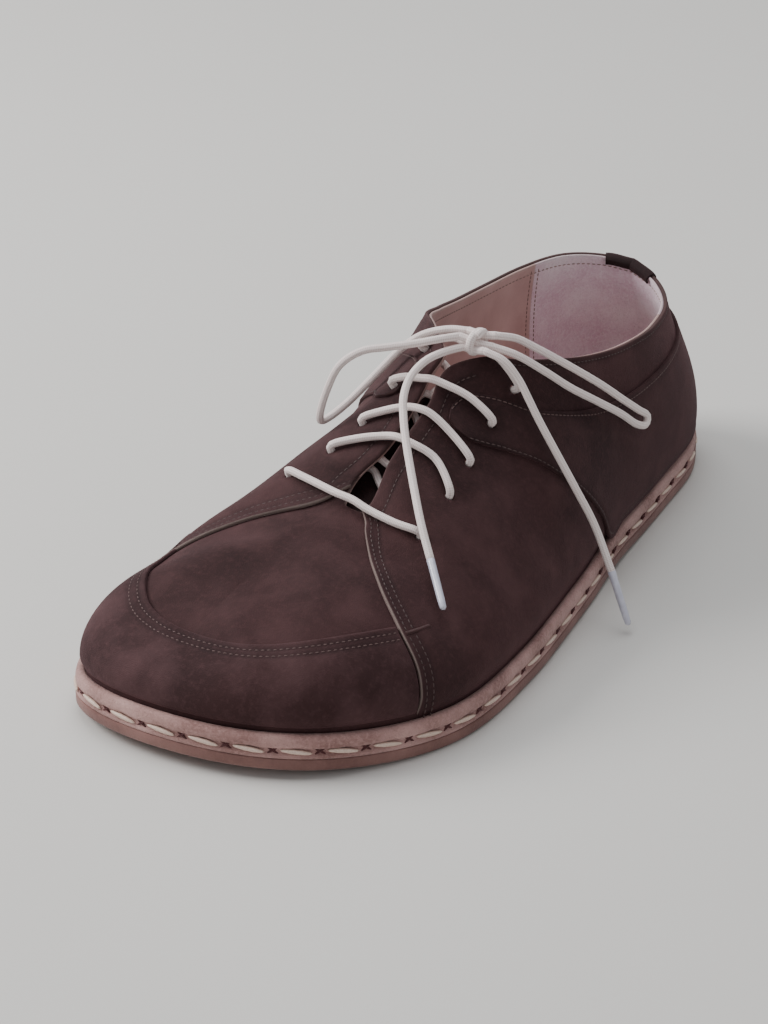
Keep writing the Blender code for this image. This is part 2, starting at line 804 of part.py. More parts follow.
def build_heel_tab():
    """Short piece folded over the back of the collar."""
    outside = QUARTER_STEP + OVERLAY_GAP
    inside = -QUARTER_INSIDE - OVERLAY_GAP
    up = np.array([0.0, 0.0, 1.0])
    outer = []
    inner = []
    for s in np.linspace(-TAB_HALF_V, TAB_HALF_V, 13):
        w = wrap((1 if s >= 0 else -1) * (1 - abs(s)))
        top = skin(w, 1.0)
        normal = skin_normal(w, 1.0)
        outer.append([
            over_skin(w, TAB_LOW_U, outside + TAB_THICK),
            over_skin(w, TAB_INSIDE_U, outside + TAB_THICK),
            top + normal * (outside + TAB_THICK) + up * 0.3 * TAB_THICK,
            top + normal * (outside + 0.4 * TAB_THICK) + up * (TAB_OVER + TAB_THICK),
            top + normal * (inside - 0.4 * TAB_THICK) + up * (TAB_OVER + TAB_THICK),
            top + normal * (inside - TAB_THICK) + up * 0.15 * TAB_THICK,
            over_skin(w, TAB_INSIDE_U, inside - TAB_THICK),
        ])
        inner.append([
            over_skin(w, TAB_LOW_U, outside),
            over_skin(w, TAB_INSIDE_U, outside),
            top + normal * outside,
            top + normal * 0.95 * outside + up * 0.4 * TAB_OVER,
            top + normal * 0.95 * inside + up * 0.4 * TAB_OVER,
            top + normal * inside,
            over_skin(w, TAB_INSIDE_U, inside),
        ])
    outer = [list(row) for row in zip(*outer)]
    inner = [list(row) for row in zip(*inner)]
    sheet_solid("heel_tab", outer, inner, False, NUBUCK_DARK)


def build_insole():
    """Footbed on the sole, inside the upper."""
    stations = np.linspace(-1, 1, 65)[:-1]
    bottom = SOLE_THICK + PART_GAP
    levels = ((INSOLE_INSET, bottom), (INSOLE_INSET, bottom + INSOLE_THICK))
    points, faces = ring_loft(outline_rings(stations, levels), False)
    faces += cap_faces(len(stations), 0) + cap_faces(len(stations), 1)
    add_object("insole", mesh_from("insole", points, faces), INSOLE_LEATHER)


def raised_grid(grid, height):
    """Grid moved along its own normals."""
    array = np.array(grid)
    across = np.gradient(array, axis=1)
    along = np.gradient(array, axis=0)
    normals = np.cross(across, along)
    normals /= np.linalg.norm(normals, axis=2, keepdims=True)
    if normals[..., 2].mean() < 0:
        normals = -normals
    return array + height * normals


def tongue_row(v, depth):
    """Points across the tongue under the facings for one place along the throat."""
    half_gap = 0.0
    if v < THROAT_END:
        half_gap = np.linalg.norm(top_point(1 - v) - top_point(v - 1)) / 2
    sides = []
    for side in (1, -1):
        w = side * (1 - v)
        line = [(0.0, 1.0, over_skin(w, 1.0, -depth))]
        travelled = 0.0
        u = 1.0
        last = skin(w, 1.0)
        while travelled < TONGUE_WING and u > 0.3:
            u -= 0.01
            here = skin(w, u)
            travelled += np.linalg.norm(here - last)
            last = here
            line.append((travelled, u, over_skin(w, u, -depth)))
        places = []
        for share in (1.0, 0.77, 0.55):
            back = max(share * TONGUE_WING - half_gap, 2.0)
            places.append(min(line, key=lambda entry: abs(entry[0] - back))[2])
        sides.append(places)
    outer, inner = sides
    middle = []
    for t in (0.25, 0.5, 0.75):
        point = outer[2] * (1 - t) + inner[2] * t
        point[2] += 4 * t * (1 - t) * CROWN * min(half_gap / 8.0, 1.0)
        middle.append(point)
    return outer + middle + inner[::-1]


def build_tongue():
    """Sheet from under the vamp up through the throat."""
    grid = [tongue_row(v, depth) for v, depth in TONGUE_ROOT[1:]]
    for v in np.linspace(0.665, 0.545, 6):
        grid.append(tongue_row(v, TONGUE_DEPTH))
    ahead = np.array(grid[-1]) - np.array(grid[-2])
    lengths = np.linalg.norm(ahead, axis=1, keepdims=True)
    grid.append(list(np.array(grid[-1]) + ahead / lengths * TONGUE_ABOVE))
    low = raised_grid(grid, -TONGUE_THICK)
    sheet_solid("tongue", [list(row) for row in grid], [list(row) for row in low], False, NUBUCK_TONGUE)


def hole_place(number, side):
    """Place of a lace hole in w and u."""
    outer_v, outer_u, inner_v, inner_u = EYELETS[number]
    return (1 - outer_v, outer_u) if side > 0 else (inner_v - 1, inner_u)


def crossing_v(number, side):
    """Place in v at which the lace of a hole crosses the facing edge."""
    column = "outer_v" if side > 0 else "inner_v"
    return BARS[number][BARS[0].index(column)]


def between(first, second, t):
    """Place part of the way from one place on the skin to another."""
    return first[0] + (second[0] - first[0]) * t, first[1] + (second[1] - first[1]) * t


def run_to_edge(number, side, v, height):
    """Points of the lace from a hole to the facing edge, which it crosses at v."""
    hole = hole_place(number, side)
    edge = (side * (1 - v), 1.0)
    over_wing = OVER_WING if number == WING_HOLE and height > 0 else 0.0
    places = [between(hole, edge, t) for t in (0.02, 0.45, 0.90)]
    if side > 0 and height > 0:
        arc = BARS[number][BARS[0].index("arc")]
        places[1] = (places[1][0] + arc, places[1][1])
    heights = (height + over_wing, height + over_wing, height)
    return [over_skin(*place, level) for place, level in zip(places, heights)]


def lace_route():
    """Route points of the laced part, from the top outer hole to the top inner hole."""
    route = []
    runs = LACE_RUN[1:]
    for (number, side, height, bow), (other, other_side, _, _) in zip(runs, runs[1:]):
        bar = height > 0
        into_hole = (-1.0, height - HOLE_LEAD) if bar else (HOLE_LEAD - 1.0, -1.0)
        route += [over_skin(*hole_place(number, side), part) for part in into_hole]
        if number == other:
            here_v = crossing_v(number, side)
            there_v = crossing_v(other, other_side)
        else:
            here_v = (crossing_v(number, side) + crossing_v(other, other_side)) / 2
            there_v = here_v
        here = run_to_edge(number, side, here_v, height)
        there = run_to_edge(other, other_side, there_v, height)
        middle = (here[-1] + there[-1]) / 2
        middle[2] += bow
        route += here + [middle] + there[::-1]
    number, side, _, _ = runs[-1]
    return route + [over_skin(*hole_place(number, side), part) for part in (-1.0, HOLE_LEAD - 1.0)]


def smooth_line(route, spacing):
    """Points along a smooth curve through the route, about evenly spaced."""
    route = [np.asarray(p, dtype=float) for p in route]
    padded = [2 * route[0] - route[1]] + route + [2 * route[-1] - route[-2]]
    dense = []
    for i in range(1, len(padded) - 2):
        p0, p1, p2, p3 = padded[i - 1:i + 3]
        a = np.sqrt(max(np.linalg.norm(p1 - p0), 1e-6))
        b = np.sqrt(max(np.linalg.norm(p2 - p1), 1e-6))
        c = np.sqrt(max(np.linalg.norm(p3 - p2), 1e-6))
        m1 = (p2 - p1) + b * ((p1 - p0) / a - (p2 - p0) / (a + b))
        m2 = (p2 - p1) + b * ((p3 - p2) / c - (p3 - p1) / (b + c))
        for t in np.linspace(0, 1, 12, endpoint=False):
            dense.append((2 * t**3 - 3 * t**2 + 1) * p1 + (t**3 - 2 * t**2 + t) * m1
                         + (3 * t**2 - 2 * t**3) * p2 + (t**3 - t**2) * m2)
    dense.append(route[-1])
    dense = np.array(dense)
    travelled = np.concatenate([[0], np.cumsum(np.linalg.norm(np.diff(dense, axis=0), axis=1))])
    count = max(int(round(travelled[-1] / spacing)), 1) + 1
    marks = np.linspace(0, travelled[-1], count)
    return np.stack([np.interp(marks, travelled, dense[:, axis]) for axis in range(3)], axis=1)


def add_cord(name, points, diameter, sides_step, material):
    """Round cord along a line of points, with closed ends."""
    curve = bpy.data.curves.new(name, "CURVE")
    curve.dimensions = "3D"
    curve.bevel_depth = diameter / 2 * MM
    curve.bevel_resolution = sides_step
    curve.use_fill_caps = True
    line = curve.splines.new("POLY")
    line.points.add(len(points) - 1)
    for point, place in zip(line.points, points):
        point.co = (*in_metres(place), 1.0)
    line.use_smooth = True
    curve.materials.append(material)
    cord = bpy.data.objects.new(name, curve)
    SHOE.objects.link(cord)
    return cord


def build_laces():
    """Laced part, knot, two loops and two ends with their tips."""
    laced = smooth_line(lace_route(), 4.5)
    add_cord("lace_bars", laced, LACE_DIA, 1, LACE_COTTON)
    bpy.ops.mesh.primitive_uv_sphere_add(segments=12, ring_count=8, radius=0.5)
    knot = bpy.context.active_object
    knot.name = "lace_knot"
    knot.data.name = "lace_knot"
    knot.scale = [size * MM for size in KNOT_SIZE]
    knot.location = in_metres(KNOT_CENTRE)
    bpy.ops.object.transform_apply(location=True, rotation=False, scale=True)
    for collection in list(knot.users_collection):
        collection.objects.unlink(knot)
    SHOE.objects.link(knot)
    knot.data.materials.append(LACE_COTTON)
    knot.data.polygons.foreach_set("use_smooth", [True] * len(knot.data.polygons))
    spacing = LACE_DIA * 2.4
    add_cord("lace_loop_outer", smooth_line(OUTER_LOOP, spacing), LACE_DIA, 2, LACE_COTTON)
    add_cord("lace_loop_inner", smooth_line(INNER_LOOP, spacing), LACE_DIA, 2, LACE_COTTON)
    add_cord("lace_end_front", smooth_line(FRONT_END, spacing), LACE_DIA, 2, LACE_COTTON)
    add_cord("lace_end_side", smooth_line(SIDE_END, spacing), LACE_DIA, 2, LACE_COTTON)
    for name, route, tip in (("aglet_front", FRONT_END, FRONT_AGLET_END), ("aglet_side", SIDE_END, SIDE_AGLET_END)):
        start = np.array(route[-1])
        ahead = np.array(tip) - start
        ahead /= np.linalg.norm(ahead)
        start = start + ahead * AGLET_GAP
        line = [start + ahead * t for t in (0.0, AGLET_LENGTH / 2, AGLET_LENGTH)]
        add_cord(name, line, AGLET_DIA, 2, AGLET_PLASTIC)


for leftover in list(bpy.data.objects):
    bpy.data.objects.remove(leftover, do_unlink=True)

SHOE = new_collection("barefoot_shoe")
CUTTERS = new_collection("cutters")

RUBBER = make_material("outsole_rubber", (0.125, 0.062, 0.050), 0.75)
RAND_LEATHER = make_material("rand_leather", (0.190, 0.098, 0.082), 0.80)
NUBUCK = make_material("nubuck_upper", (0.062, 0.034, 0.036), 0.88)
NUBUCK_GUARD = make_material("nubuck_guard", (0.066, 0.036, 0.037), 0.88)
NUBUCK_COUNTER = make_material("nubuck_counter", (0.058, 0.032, 0.034), 0.88)
NUBUCK_DARK = make_material("nubuck_tab", (0.030, 0.018, 0.020), 0.90)
NUBUCK_TONGUE = make_material("nubuck_tongue", (0.050, 0.028, 0.030), 0.90)
INSOLE_LEATHER = make_material("insole_leather", (0.250, 0.130, 0.105), 0.70)
LACE_COTTON = make_material("lace_cotton", (0.800, 0.680, 0.680), 0.85)
AGLET_PLASTIC = make_material("aglet_plastic", (0.560, 0.560, 0.640), 0.35)

build_outsole()
build_rand()
build_upper()
build_toe_guard()
build_counter()
build_heel_tab()
build_insole()
build_tongue()
build_laces()
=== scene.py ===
# %% [markdown]
# A barefoot shoe for the left foot: a thin sole sheet, a leather strip stitched round its edge,
# a nubuck upper of few panels and a round cotton lace tied in a bow.
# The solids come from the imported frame. The lesson dresses them: every visible piece is made again
# with its seams, raw edges and thread, on the same sizes as the solid that it stands for.

# %% Load the frame
import bmesh
import bpy
import numpy as np
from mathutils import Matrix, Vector
from mathutils.kdtree import KDTree


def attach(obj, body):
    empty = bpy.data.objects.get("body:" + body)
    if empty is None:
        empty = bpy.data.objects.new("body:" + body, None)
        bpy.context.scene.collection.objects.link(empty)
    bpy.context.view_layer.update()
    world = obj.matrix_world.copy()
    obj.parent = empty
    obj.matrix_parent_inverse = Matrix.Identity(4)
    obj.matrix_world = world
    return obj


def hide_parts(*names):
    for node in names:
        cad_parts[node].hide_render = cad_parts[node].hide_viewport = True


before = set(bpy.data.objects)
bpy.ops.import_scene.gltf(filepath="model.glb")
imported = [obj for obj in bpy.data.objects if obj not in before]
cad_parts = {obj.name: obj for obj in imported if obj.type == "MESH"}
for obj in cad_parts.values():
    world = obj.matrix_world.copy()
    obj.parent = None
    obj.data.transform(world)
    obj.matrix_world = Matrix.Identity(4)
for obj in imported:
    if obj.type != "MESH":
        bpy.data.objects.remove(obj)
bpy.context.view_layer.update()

MM = 0.001
print("nodes in the frame:", sorted(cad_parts))

# %% [markdown]
# The camera stands where the photographer stood: about a metre away, half a metre up and a little
# to the outer side of the toe. Only its aim and lens differ, so one shoe fills the frame while
# the perspective stays the same. A soft window light falls from the left of the picture.
# Area lights are used because their size sets how soft the shadows are.

# %% Camera and light
CAMERA_AT = Vector((511.8, -878.9, 545.0)) * MM
AIM_AT = Vector((-2.0, -31.0, 38.0)) * MM
LENS = 124.0


def aimed(thing, place, target):
    """Put a camera or light at a place, looking at a target."""
    thing.location = place
    thing.rotation_euler = (target - place).to_track_quat("-Z", "Y").to_euler()
    bpy.context.scene.collection.objects.link(thing)
    return thing


camera = bpy.data.cameras.new("camera")
camera.lens = LENS
camera.sensor_width = 36.0
camera.clip_start = 0.01
bpy.context.scene.camera = aimed(bpy.data.objects.new("camera", camera), CAMERA_AT, AIM_AT)

LIGHTS = (
    ("name", "x", "y", "z", "size", "watts", "colour"),
    ("window", -1.15, -0.45, 0.95, 0.8, 24.0, (1.0, 0.985, 0.97)),
    ("ceiling", -0.25, 0.30, 1.60, 1.2, 15.0, (0.97, 0.985, 1.0)),
    ("room_side", 0.95, -1.10, 0.70, 1.3, 2.2, (1.0, 0.97, 0.95)),
)
for name, x, y, z, size, watts, colour in LIGHTS[1:]:
    lamp = bpy.data.lights.new(name, "AREA")
    lamp.shape = "SQUARE"
    lamp.size = size
    lamp.energy = watts
    lamp.color = colour
    aimed(bpy.data.objects.new(name, lamp), Vector((x, y, z)), AIM_AT)
world = bpy.data.worlds.new("room")
world.use_nodes = True
world.node_tree.nodes["Background"].inputs["Color"].default_value = (0.80, 0.81, 0.83, 1.0)
world.node_tree.nodes["Background"].inputs["Strength"].default_value = 0.42
bpy.context.scene.world = world
print("camera distance in metres:", round((CAMERA_AT - AIM_AT).length, 3))

# %% [markdown]
# Colours are written as the hex codes that a picture editor shows, and turned to linear light
# here. Each finish is a short node tree. One small function adds a node, fills its inputs and
# makes its links, which keeps every tree readable as a list.

# %% Colours and nodes


def srgb(code):
    """Linear colour of an sRGB hex code."""
    parts = np.array([int(code[i:i + 2], 16) for i in (1, 3, 5)]) / 255
    linear = np.where(parts <= 0.04045, parts / 12.92, ((parts + 0.055) / 1.055) ** 2.4)
    return (*[float(value) for value in linear], 1.0)


def add(tree, kind, values=None, links=None, **settings):
    """New node with its settings, input values and links."""
    made = tree.nodes.new(kind)
    for name, value in settings.items():
        setattr(made, name, value)
    for socket, value in (values or {}).items():
        made.inputs[socket].default_value = value
    for socket, source in (links or {}).items():
        tree.links.new(source, made.inputs[socket])
    return made


def new_material(name):
    """Empty material tree with its shader, and its object coordinates."""
    material = bpy.data.materials.new(name)
    material.use_nodes = True
    tree = material.node_tree
    shader = tree.nodes["Principled BSDF"]
    place = add(tree, "ShaderNodeTexCoord").outputs["Object"]
    return material, tree, shader, place


# %% [markdown]
# Nubuck is grain leather sanded until it has a short nap. It hardly shines, its nap lies in patches that look lighter
# or darker by a finger's width, and the light that grazes it catches the fibre ends, which is the sheen. A cut edge
# shows the paler core of the hide, so the meshes carry an attribute named raw_edge. The leather beside a seam is
# pressed into a dip, and the attribute named seam paints it darker there: partly the pressed nap, partly painted
# shade in the dip.

# %% Brushed nubuck


def brushed_nubuck(name, dark, middle, light, core, soft=1.0):
    """Brushed nubuck; object coordinates are metres, so a scale of 1000 is a 1 mm pattern."""
    material, tree, shader, place = new_material(name)
    cloud = add(tree, "ShaderNodeTexNoise", {"Scale": 22.0, "Detail": 3.0, "Roughness": 0.5}, {"Vector": place})
    patch = add(tree, "ShaderNodeTexNoise", {"Scale": 62.0, "Detail": 4.0, "Roughness": 0.55, "Distortion": 0.3},
                {"Vector": place})
    nap = add(tree, "ShaderNodeTexNoise", {"Scale": 620.0, "Detail": 4.0, "Roughness": 0.65}, {"Vector": place})
    fibre = add(tree, "ShaderNodeTexNoise", {"Scale": 2600.0, "Detail": 2.0}, {"Vector": place})
    cloud_share = add(tree, "ShaderNodeMapRange", {"From Min": 0.36, "From Max": 0.66}, {"Value": cloud.outputs[0]})
    patch_share = add(tree, "ShaderNodeMapRange", {"From Min": 0.42, "From Max": 0.80, "To Max": 0.62 * soft},
                      {"Value": patch.outputs[0]})
    nap_share = add(tree, "ShaderNodeMapRange", {"From Min": 0.48, "From Max": 0.84, "To Max": 0.45 * soft},
                    {"Value": nap.outputs[0]})
    base = add(tree, "ShaderNodeMix", {6: srgb(dark), 7: srgb(middle)}, {0: cloud_share.outputs[0]}, data_type="RGBA")
    patched = add(tree, "ShaderNodeMix", {7: srgb(light)}, {0: patch_share.outputs[0], 6: base.outputs[2]},
                  data_type="RGBA")
    napped = add(tree, "ShaderNodeMix", {7: srgb(light)}, {0: nap_share.outputs[0], 6: patched.outputs[2]},
                 data_type="RGBA")
    # Beside a seam the colour is painted darker, towards #1d1214: partly the pressed nap, partly painted shade in the
    # seam's dip.
    seam = add(tree, "ShaderNodeAttribute", attribute_name="seam")
    seam_press_and_shade = add(tree, "ShaderNodeMath", {1: 0.55}, {0: seam.outputs["Fac"]}, operation="MULTIPLY")
    seam_darkened_with_shade = add(tree, "ShaderNodeMix", {7: srgb("#1d1214")}, {0: seam_press_and_shade.outputs[0], 6: napped.outputs[2]},
                 data_type="RGBA")
    edge = add(tree, "ShaderNodeAttribute", attribute_name="raw_edge")
    finished = add(tree, "ShaderNodeMix", {7: srgb(core)}, {0: edge.outputs["Fac"], 6: seam_darkened_with_shade.outputs[2]},
                   data_type="RGBA")
    rough = add(tree, "ShaderNodeMapRange", {"To Min": 0.78, "To Max": 0.98}, {"Value": nap.outputs[0]})
    relief = add(tree, "ShaderNodeMath", {2: 0.0}, {0: nap.outputs[0], 1: fibre.outputs[0]}, operation="MULTIPLY_ADD")
    tree.links.new(fibre.outputs[0], relief.inputs[2])
    bump = add(tree, "ShaderNodeBump", {"Strength": 0.45, "Distance": 0.0003}, {"Height": relief.outputs[0]})
    tree.links.new(finished.outputs[2], shader.inputs["Base Color"])
    tree.links.new(rough.outputs[0], shader.inputs["Roughness"])
    tree.links.new(bump.outputs[0], shader.inputs["Normal"])
    shader.inputs["Specular IOR Level"].default_value = 0.25
    shader.inputs["Sheen Weight"].default_value = 0.20
    shader.inputs["Sheen Roughness"].default_value = 0.45
    shader.inputs["Sheen Tint"].default_value = srgb("#c08a92")
    return material


NUBUCK = brushed_nubuck("brown_nubuck", "#291819", "#3a2324", "#553a3b", "#8e807a")
NUBUCK_GUARD = brushed_nubuck("brown_nubuck_toe_guard", "#28181a", "#382223", "#5a4042", "#352223", 1.1)
NUBUCK_COUNTER = brushed_nubuck("brown_nubuck_counter", "#241516", "#341f20", "#4e3536", "#382424")
NUBUCK_TAB = brushed_nubuck("black_brown_nubuck", "#1b1112", "#281a1b", "#3a2a2b", "#2e2020")
# The tongue's nubuck is painted darker than the upper's, as painted shade for the throat gap it lies in.
NUBUCK_TONGUE_PAINTED_SHADE = brushed_nubuck("nubuck_tongue_painted_shade", "#221415", "#2e1c1d", "#3f2b2b", "#5a4742")
print("nubuck finishes made: 5")

# %% [markdown]
# The strip round the sole is undyed split leather, cut by hand: pinkish brown, fibrous and
# uneven along its top edge. The sole sheet below it has nearly the same colour and is smoother.
# The lining has two leathers, a smooth tan one in front and a lilac pink suede round the heel, whose nap is speckled
# like felt. The suede's colours are painted paler than the suede, as painted light for the light that hardly reaches
# inside the heel. Each is a few noises at the size of the real fibres.

# %% Strip, sole, linings


def fibrous_leather(name, dark, middle, light, depth, speckle, raw="#d9c2b8", rough_low=0.75):
    """Undyed or suede leather with fibres of about 0.5 mm."""
    material, tree, shader, place = new_material(name)
    cloud = add(tree, "ShaderNodeTexNoise", {"Scale": 60.0, "Detail": 4.0}, {"Vector": place})
    fibre = add(tree, "ShaderNodeTexNoise", {"Scale": 900.0, "Detail": 5.0, "Roughness": 0.7}, {"Vector": place})
    fluff = add(tree, "ShaderNodeTexNoise", {"Scale": 1700.0, "Detail": 3.0, "Roughness": 0.6}, {"Vector": place})
    cloud_share = add(tree, "ShaderNodeMapRange", {"From Min": 0.35, "From Max": 0.68}, {"Value": cloud.outputs[0]})
    fibre_share = add(tree, "ShaderNodeMapRange", {"From Min": 0.45, "From Max": 0.72, "To Max": speckle},
                      {"Value": fibre.outputs[0]})
    fluff_share = add(tree, "ShaderNodeMapRange", {"From Min": 0.54, "From Max": 0.80, "To Max": speckle * 0.5},
                      {"Value": fluff.outputs[0]})
    base = add(tree, "ShaderNodeMix", {6: srgb(middle), 7: srgb(light)}, {0: cloud_share.outputs[0]},
               data_type="RGBA")
    fibred = add(tree, "ShaderNodeMix", {7: srgb(light)}, {0: fibre_share.outputs[0], 6: base.outputs[2]},
                 data_type="RGBA")
    fluffed = add(tree, "ShaderNodeMix", {7: srgb(dark)}, {0: fluff_share.outputs[0], 6: fibred.outputs[2]},
                  data_type="RGBA")
    # Beside a seam the colour is painted darker, towards the dark tone: partly pressed fibres, partly painted shade
    # in the seam's dip.
    seam = add(tree, "ShaderNodeAttribute", attribute_name="seam")
    seam_darkened_with_shade = add(tree, "ShaderNodeMix", {7: srgb(dark)}, {0: seam.outputs["Fac"], 6: fluffed.outputs[2]},
                 data_type="RGBA")
    edge = add(tree, "ShaderNodeAttribute", attribute_name="raw_edge")
    finished = add(tree, "ShaderNodeMix", {7: srgb(raw)}, {0: edge.outputs["Fac"], 6: seam_darkened_with_shade.outputs[2]},
                   data_type="RGBA")
    rough = add(tree, "ShaderNodeMapRange", {"To Min": rough_low, "To Max": 0.97}, {"Value": fibre.outputs[0]})
    bump = add(tree, "ShaderNodeBump", {"Strength": 0.6, "Distance": depth * MM}, {"Height": fibre.outputs[0]})
    tree.links.new(finished.outputs[2], shader.inputs["Base Color"])
    tree.links.new(rough.outputs[0], shader.inputs["Roughness"])
    tree.links.new(bump.outputs[0], shader.inputs["Normal"])
    shader.inputs["Specular IOR Level"].default_value = 0.25
    shader.inputs["Sheen Weight"].default_value = 0.15
    shader.inputs["Sheen Roughness"].default_value = 0.5
    return material


RAND_LEATHER = fibrous_leather("split_leather_strip", "#543834", "#936e69", "#c69f9a", 1.4, 0.75)
SOLE_SHEET = fibrous_leather("brown_sole_sheet", "#452e2b", "#765550", "#936f69", 0.4, 0.35)
# The suede's colours are painted paler than the suede itself: painted light for the light that hardly reaches inside
# the heel.
SUEDE_LINING_PAINTED_LIGHT = fibrous_leather("lilac_suede_lining_painted_light", "#a5869a", "#ebd0e0", "#fff4fb", 0.9, 0.85, "#9c817b")
TAN_LINING = fibrous_leather("tan_lining_leather", "#8b6862", "#c4a29e", "#d8bab6", 0.12, 0.22, "#94776f", 0.5)
FOOTBED = fibrous_leather("tan_footbed_leather", "#7a5850", "#a58278", "#b8968c", 0.2, 0.35)
print("fibrous finishes made: 5")

# %% [markdown]
# The lace is a round braid of undyed cotton. Its strands cross in two directions, and a product of two diagonal waves
# draws them, in the relief and in the colour, whose darker tone in the valleys between strands is painted shade. The
# tubes carry a UV map whose first value runs once round and whose second is the length in centimetres, so the braid
# follows every bend. A real strand is about 0.5 mm; here a repeat is 1.1 mm so that it shows. Thread is waxed and a
# little glossy.

# %% Cotton, thread and tips


def braided_cotton(name, pale, shade):
    """Braid drawn from the tube's own UV map."""
    material, tree, shader, place = new_material(name)
    around = add(tree, "ShaderNodeSeparateXYZ", None, {0: add(tree, "ShaderNodeTexCoord").outputs["UV"]})
    turns = add(tree, "ShaderNodeMath", {1: 4 * 2 * np.pi}, {0: around.outputs[0]}, operation="MULTIPLY")
    steps = add(tree, "ShaderNodeMath", {1: 9.1 * 2 * np.pi}, {0: around.outputs[1]}, operation="MULTIPLY")
    right = add(tree, "ShaderNodeMath", None, {0: turns.outputs[0], 1: steps.outputs[0]}, operation="ADD")
    left = add(tree, "ShaderNodeMath", None, {0: turns.outputs[0], 1: steps.outputs[0]}, operation="SUBTRACT")
    wave_right = add(tree, "ShaderNodeMath", None, {0: right.outputs[0]}, operation="SINE")
    wave_left = add(tree, "ShaderNodeMath", None, {0: left.outputs[0]}, operation="SINE")
    braid = add(tree, "ShaderNodeMath", None, {0: wave_right.outputs[0], 1: wave_left.outputs[0]},
                operation="MULTIPLY")
    fuzz = add(tree, "ShaderNodeTexNoise", {"Scale": 1500.0, "Detail": 3.0}, {"Vector": place})
    # The colour goes to the shade tone in the braid's valleys: painted shade between the strands.
    share = add(tree, "ShaderNodeMapRange", {"From Min": -0.9, "From Max": 0.5}, {"Value": braid.outputs[0]})
    colour = add(tree, "ShaderNodeMix", {6: srgb(shade), 7: srgb(pale)}, {0: share.outputs[0]}, data_type="RGBA")
    height = add(tree, "ShaderNodeMath", {1: 0.7}, {0: braid.outputs[0], 2: fuzz.outputs[0]},
                 operation="MULTIPLY_ADD")
    bump = add(tree, "ShaderNodeBump", {"Strength": 0.35, "Distance": 0.0002}, {"Height": height.outputs[0]})
    tree.links.new(colour.outputs[2], shader.inputs["Base Color"])
    tree.links.new(bump.outputs[0], shader.inputs["Normal"])
    shader.inputs["Roughness"].default_value = 0.82
    shader.inputs["Sheen Weight"].default_value = 0.25
    return material


def spun_thread(name, pale, shade, rough, grain=2200.0):
    """Waxed thread or film: two tones and a fine relief."""
    material, tree, shader, place = new_material(name)
    fuzz = add(tree, "ShaderNodeTexNoise", {"Scale": grain, "Detail": 2.0}, {"Vector": place})
    colour = add(tree, "ShaderNodeMix", {6: srgb(shade), 7: srgb(pale)}, {0: fuzz.outputs[0]}, data_type="RGBA")
    bump = add(tree, "ShaderNodeBump", {"Strength": 0.3, "Distance": 0.0001}, {"Height": fuzz.outputs[0]})
    tree.links.new(colour.outputs[2], shader.inputs["Base Color"])
    tree.links.new(bump.outputs[0], shader.inputs["Normal"])
    shader.inputs["Roughness"].default_value = rough
    return material


LACE_COTTON = braided_cotton("braided_cotton", "#f6ebe8", "#d8c5c2")
EDGE_THREAD = spun_thread("waxed_linen_thread", "#efdccd", "#c2a293", 0.5)
# Dark red for the crossed marks in the pinched gaps of the edge strip.
DARK_PINCH_MARKS = spun_thread("dark_red_pinch_marks", "#5c2326", "#351315", 0.6)
SEAM_THREAD = spun_thread("brown_seam_thread", "#5a4442", "#2c1e1e", 0.6)
PALE_THREAD = spun_thread("dusty_pink_thread", "#6a504d", "#402d2c", 0.6)
LINING_THREAD = spun_thread("cream_lining_thread", "#b39a93", "#856c67", 0.6)
TACK_THREAD = spun_thread("oxblood_tack_thread", "#451c1d", "#2a1113", 0.6)
TIP_FILM = spun_thread("clear_film_tip", "#d9d9e6", "#b9b9ca", 0.28, 400.0)
TIP_FILM.node_tree.nodes["Principled BSDF"].inputs["Coat Weight"].default_value = 0.5
print("thread and cord finishes made: 8")

# %% [markdown]
# The shape is the part's own. A place on the shoe has two values: w runs once round the outline,
# from the heel over the inner side, the toe and the outer side, and u climbs from the sole to the
# top line. Tables give the outline, the top line and how each section leaves the foot and meets
# the top. Here they are read with arrays, so thousands of places cost one call.

# %% Tables of the last, in millimetres
CENTRE = np.array([5.25, 0.0, 0.0])
HALF_LENGTH = 141.5
SOLE_THICK = 4.0
RAND_TOP = 11.8
GROOVE_AT = 6.6
UPPER_INSET = 3.2
UPPER_SPRINGS_AT = 12.4
SQUARE_TO_EDGE = 12.0
THROAT_END = 0.715
GUARD_TO_QUARTER = 0.0025
TOE_LIFT = (85.0, 56.5, 4.0)
ARCH_LIFT = (10.0, 66.0, 1.0)
HEEL_LIFT = (120.0, 20.0, 1.2)
OUTLINE = (
    ("v", "inner_x", "outer_x"),
    (0.00, -4.0, -4.0),
    (0.05, -15.0, 8.0),
    (0.10, -24.0, 18.0),
    (0.20, -33.0, 30.0),
    (0.30, -36.0, 35.0),
    (0.40, -40.0, 40.0),
    (0.50, -49.0, 47.5),
    (0.60, -58.0, 53.5),
    (0.70, -64.0, 53.0),
    (0.80, -64.0, 37.5),
    (0.90, -52.0, 13.0),
    (0.95, -39.0, -3.0),
    (1.00, -22.0, -22.0),
)
TOP_OUTER = (
    ("v", "x", "y", "z"),
    (0.00, -2.0, 125.5, 67.5),
    (0.08, 8.5, 121.5, 65.0),
    (0.16, 18.0, 110.0, 64.0),
    (0.25, 24.5, 92.0, 65.0),
    (0.33, 27.5, 72.0, 67.0),
    (0.40, 26.5, 48.0, 70.5),
    (0.45, 23.0, 29.0, 75.0),
    (0.49, 16.5, 11.0, 80.0),
    (0.52, 9.0, 1.0, 83.0),
    (0.54, 3.5, -5.5, 82.0),
    (0.60, 1.5, -20.0, 72.0),
    (0.66, 0.0, -39.0, 61.0),
    (0.70, 0.0, -56.0, 51.0),
    (0.715, -5.5, -57.0, 52.3),
)
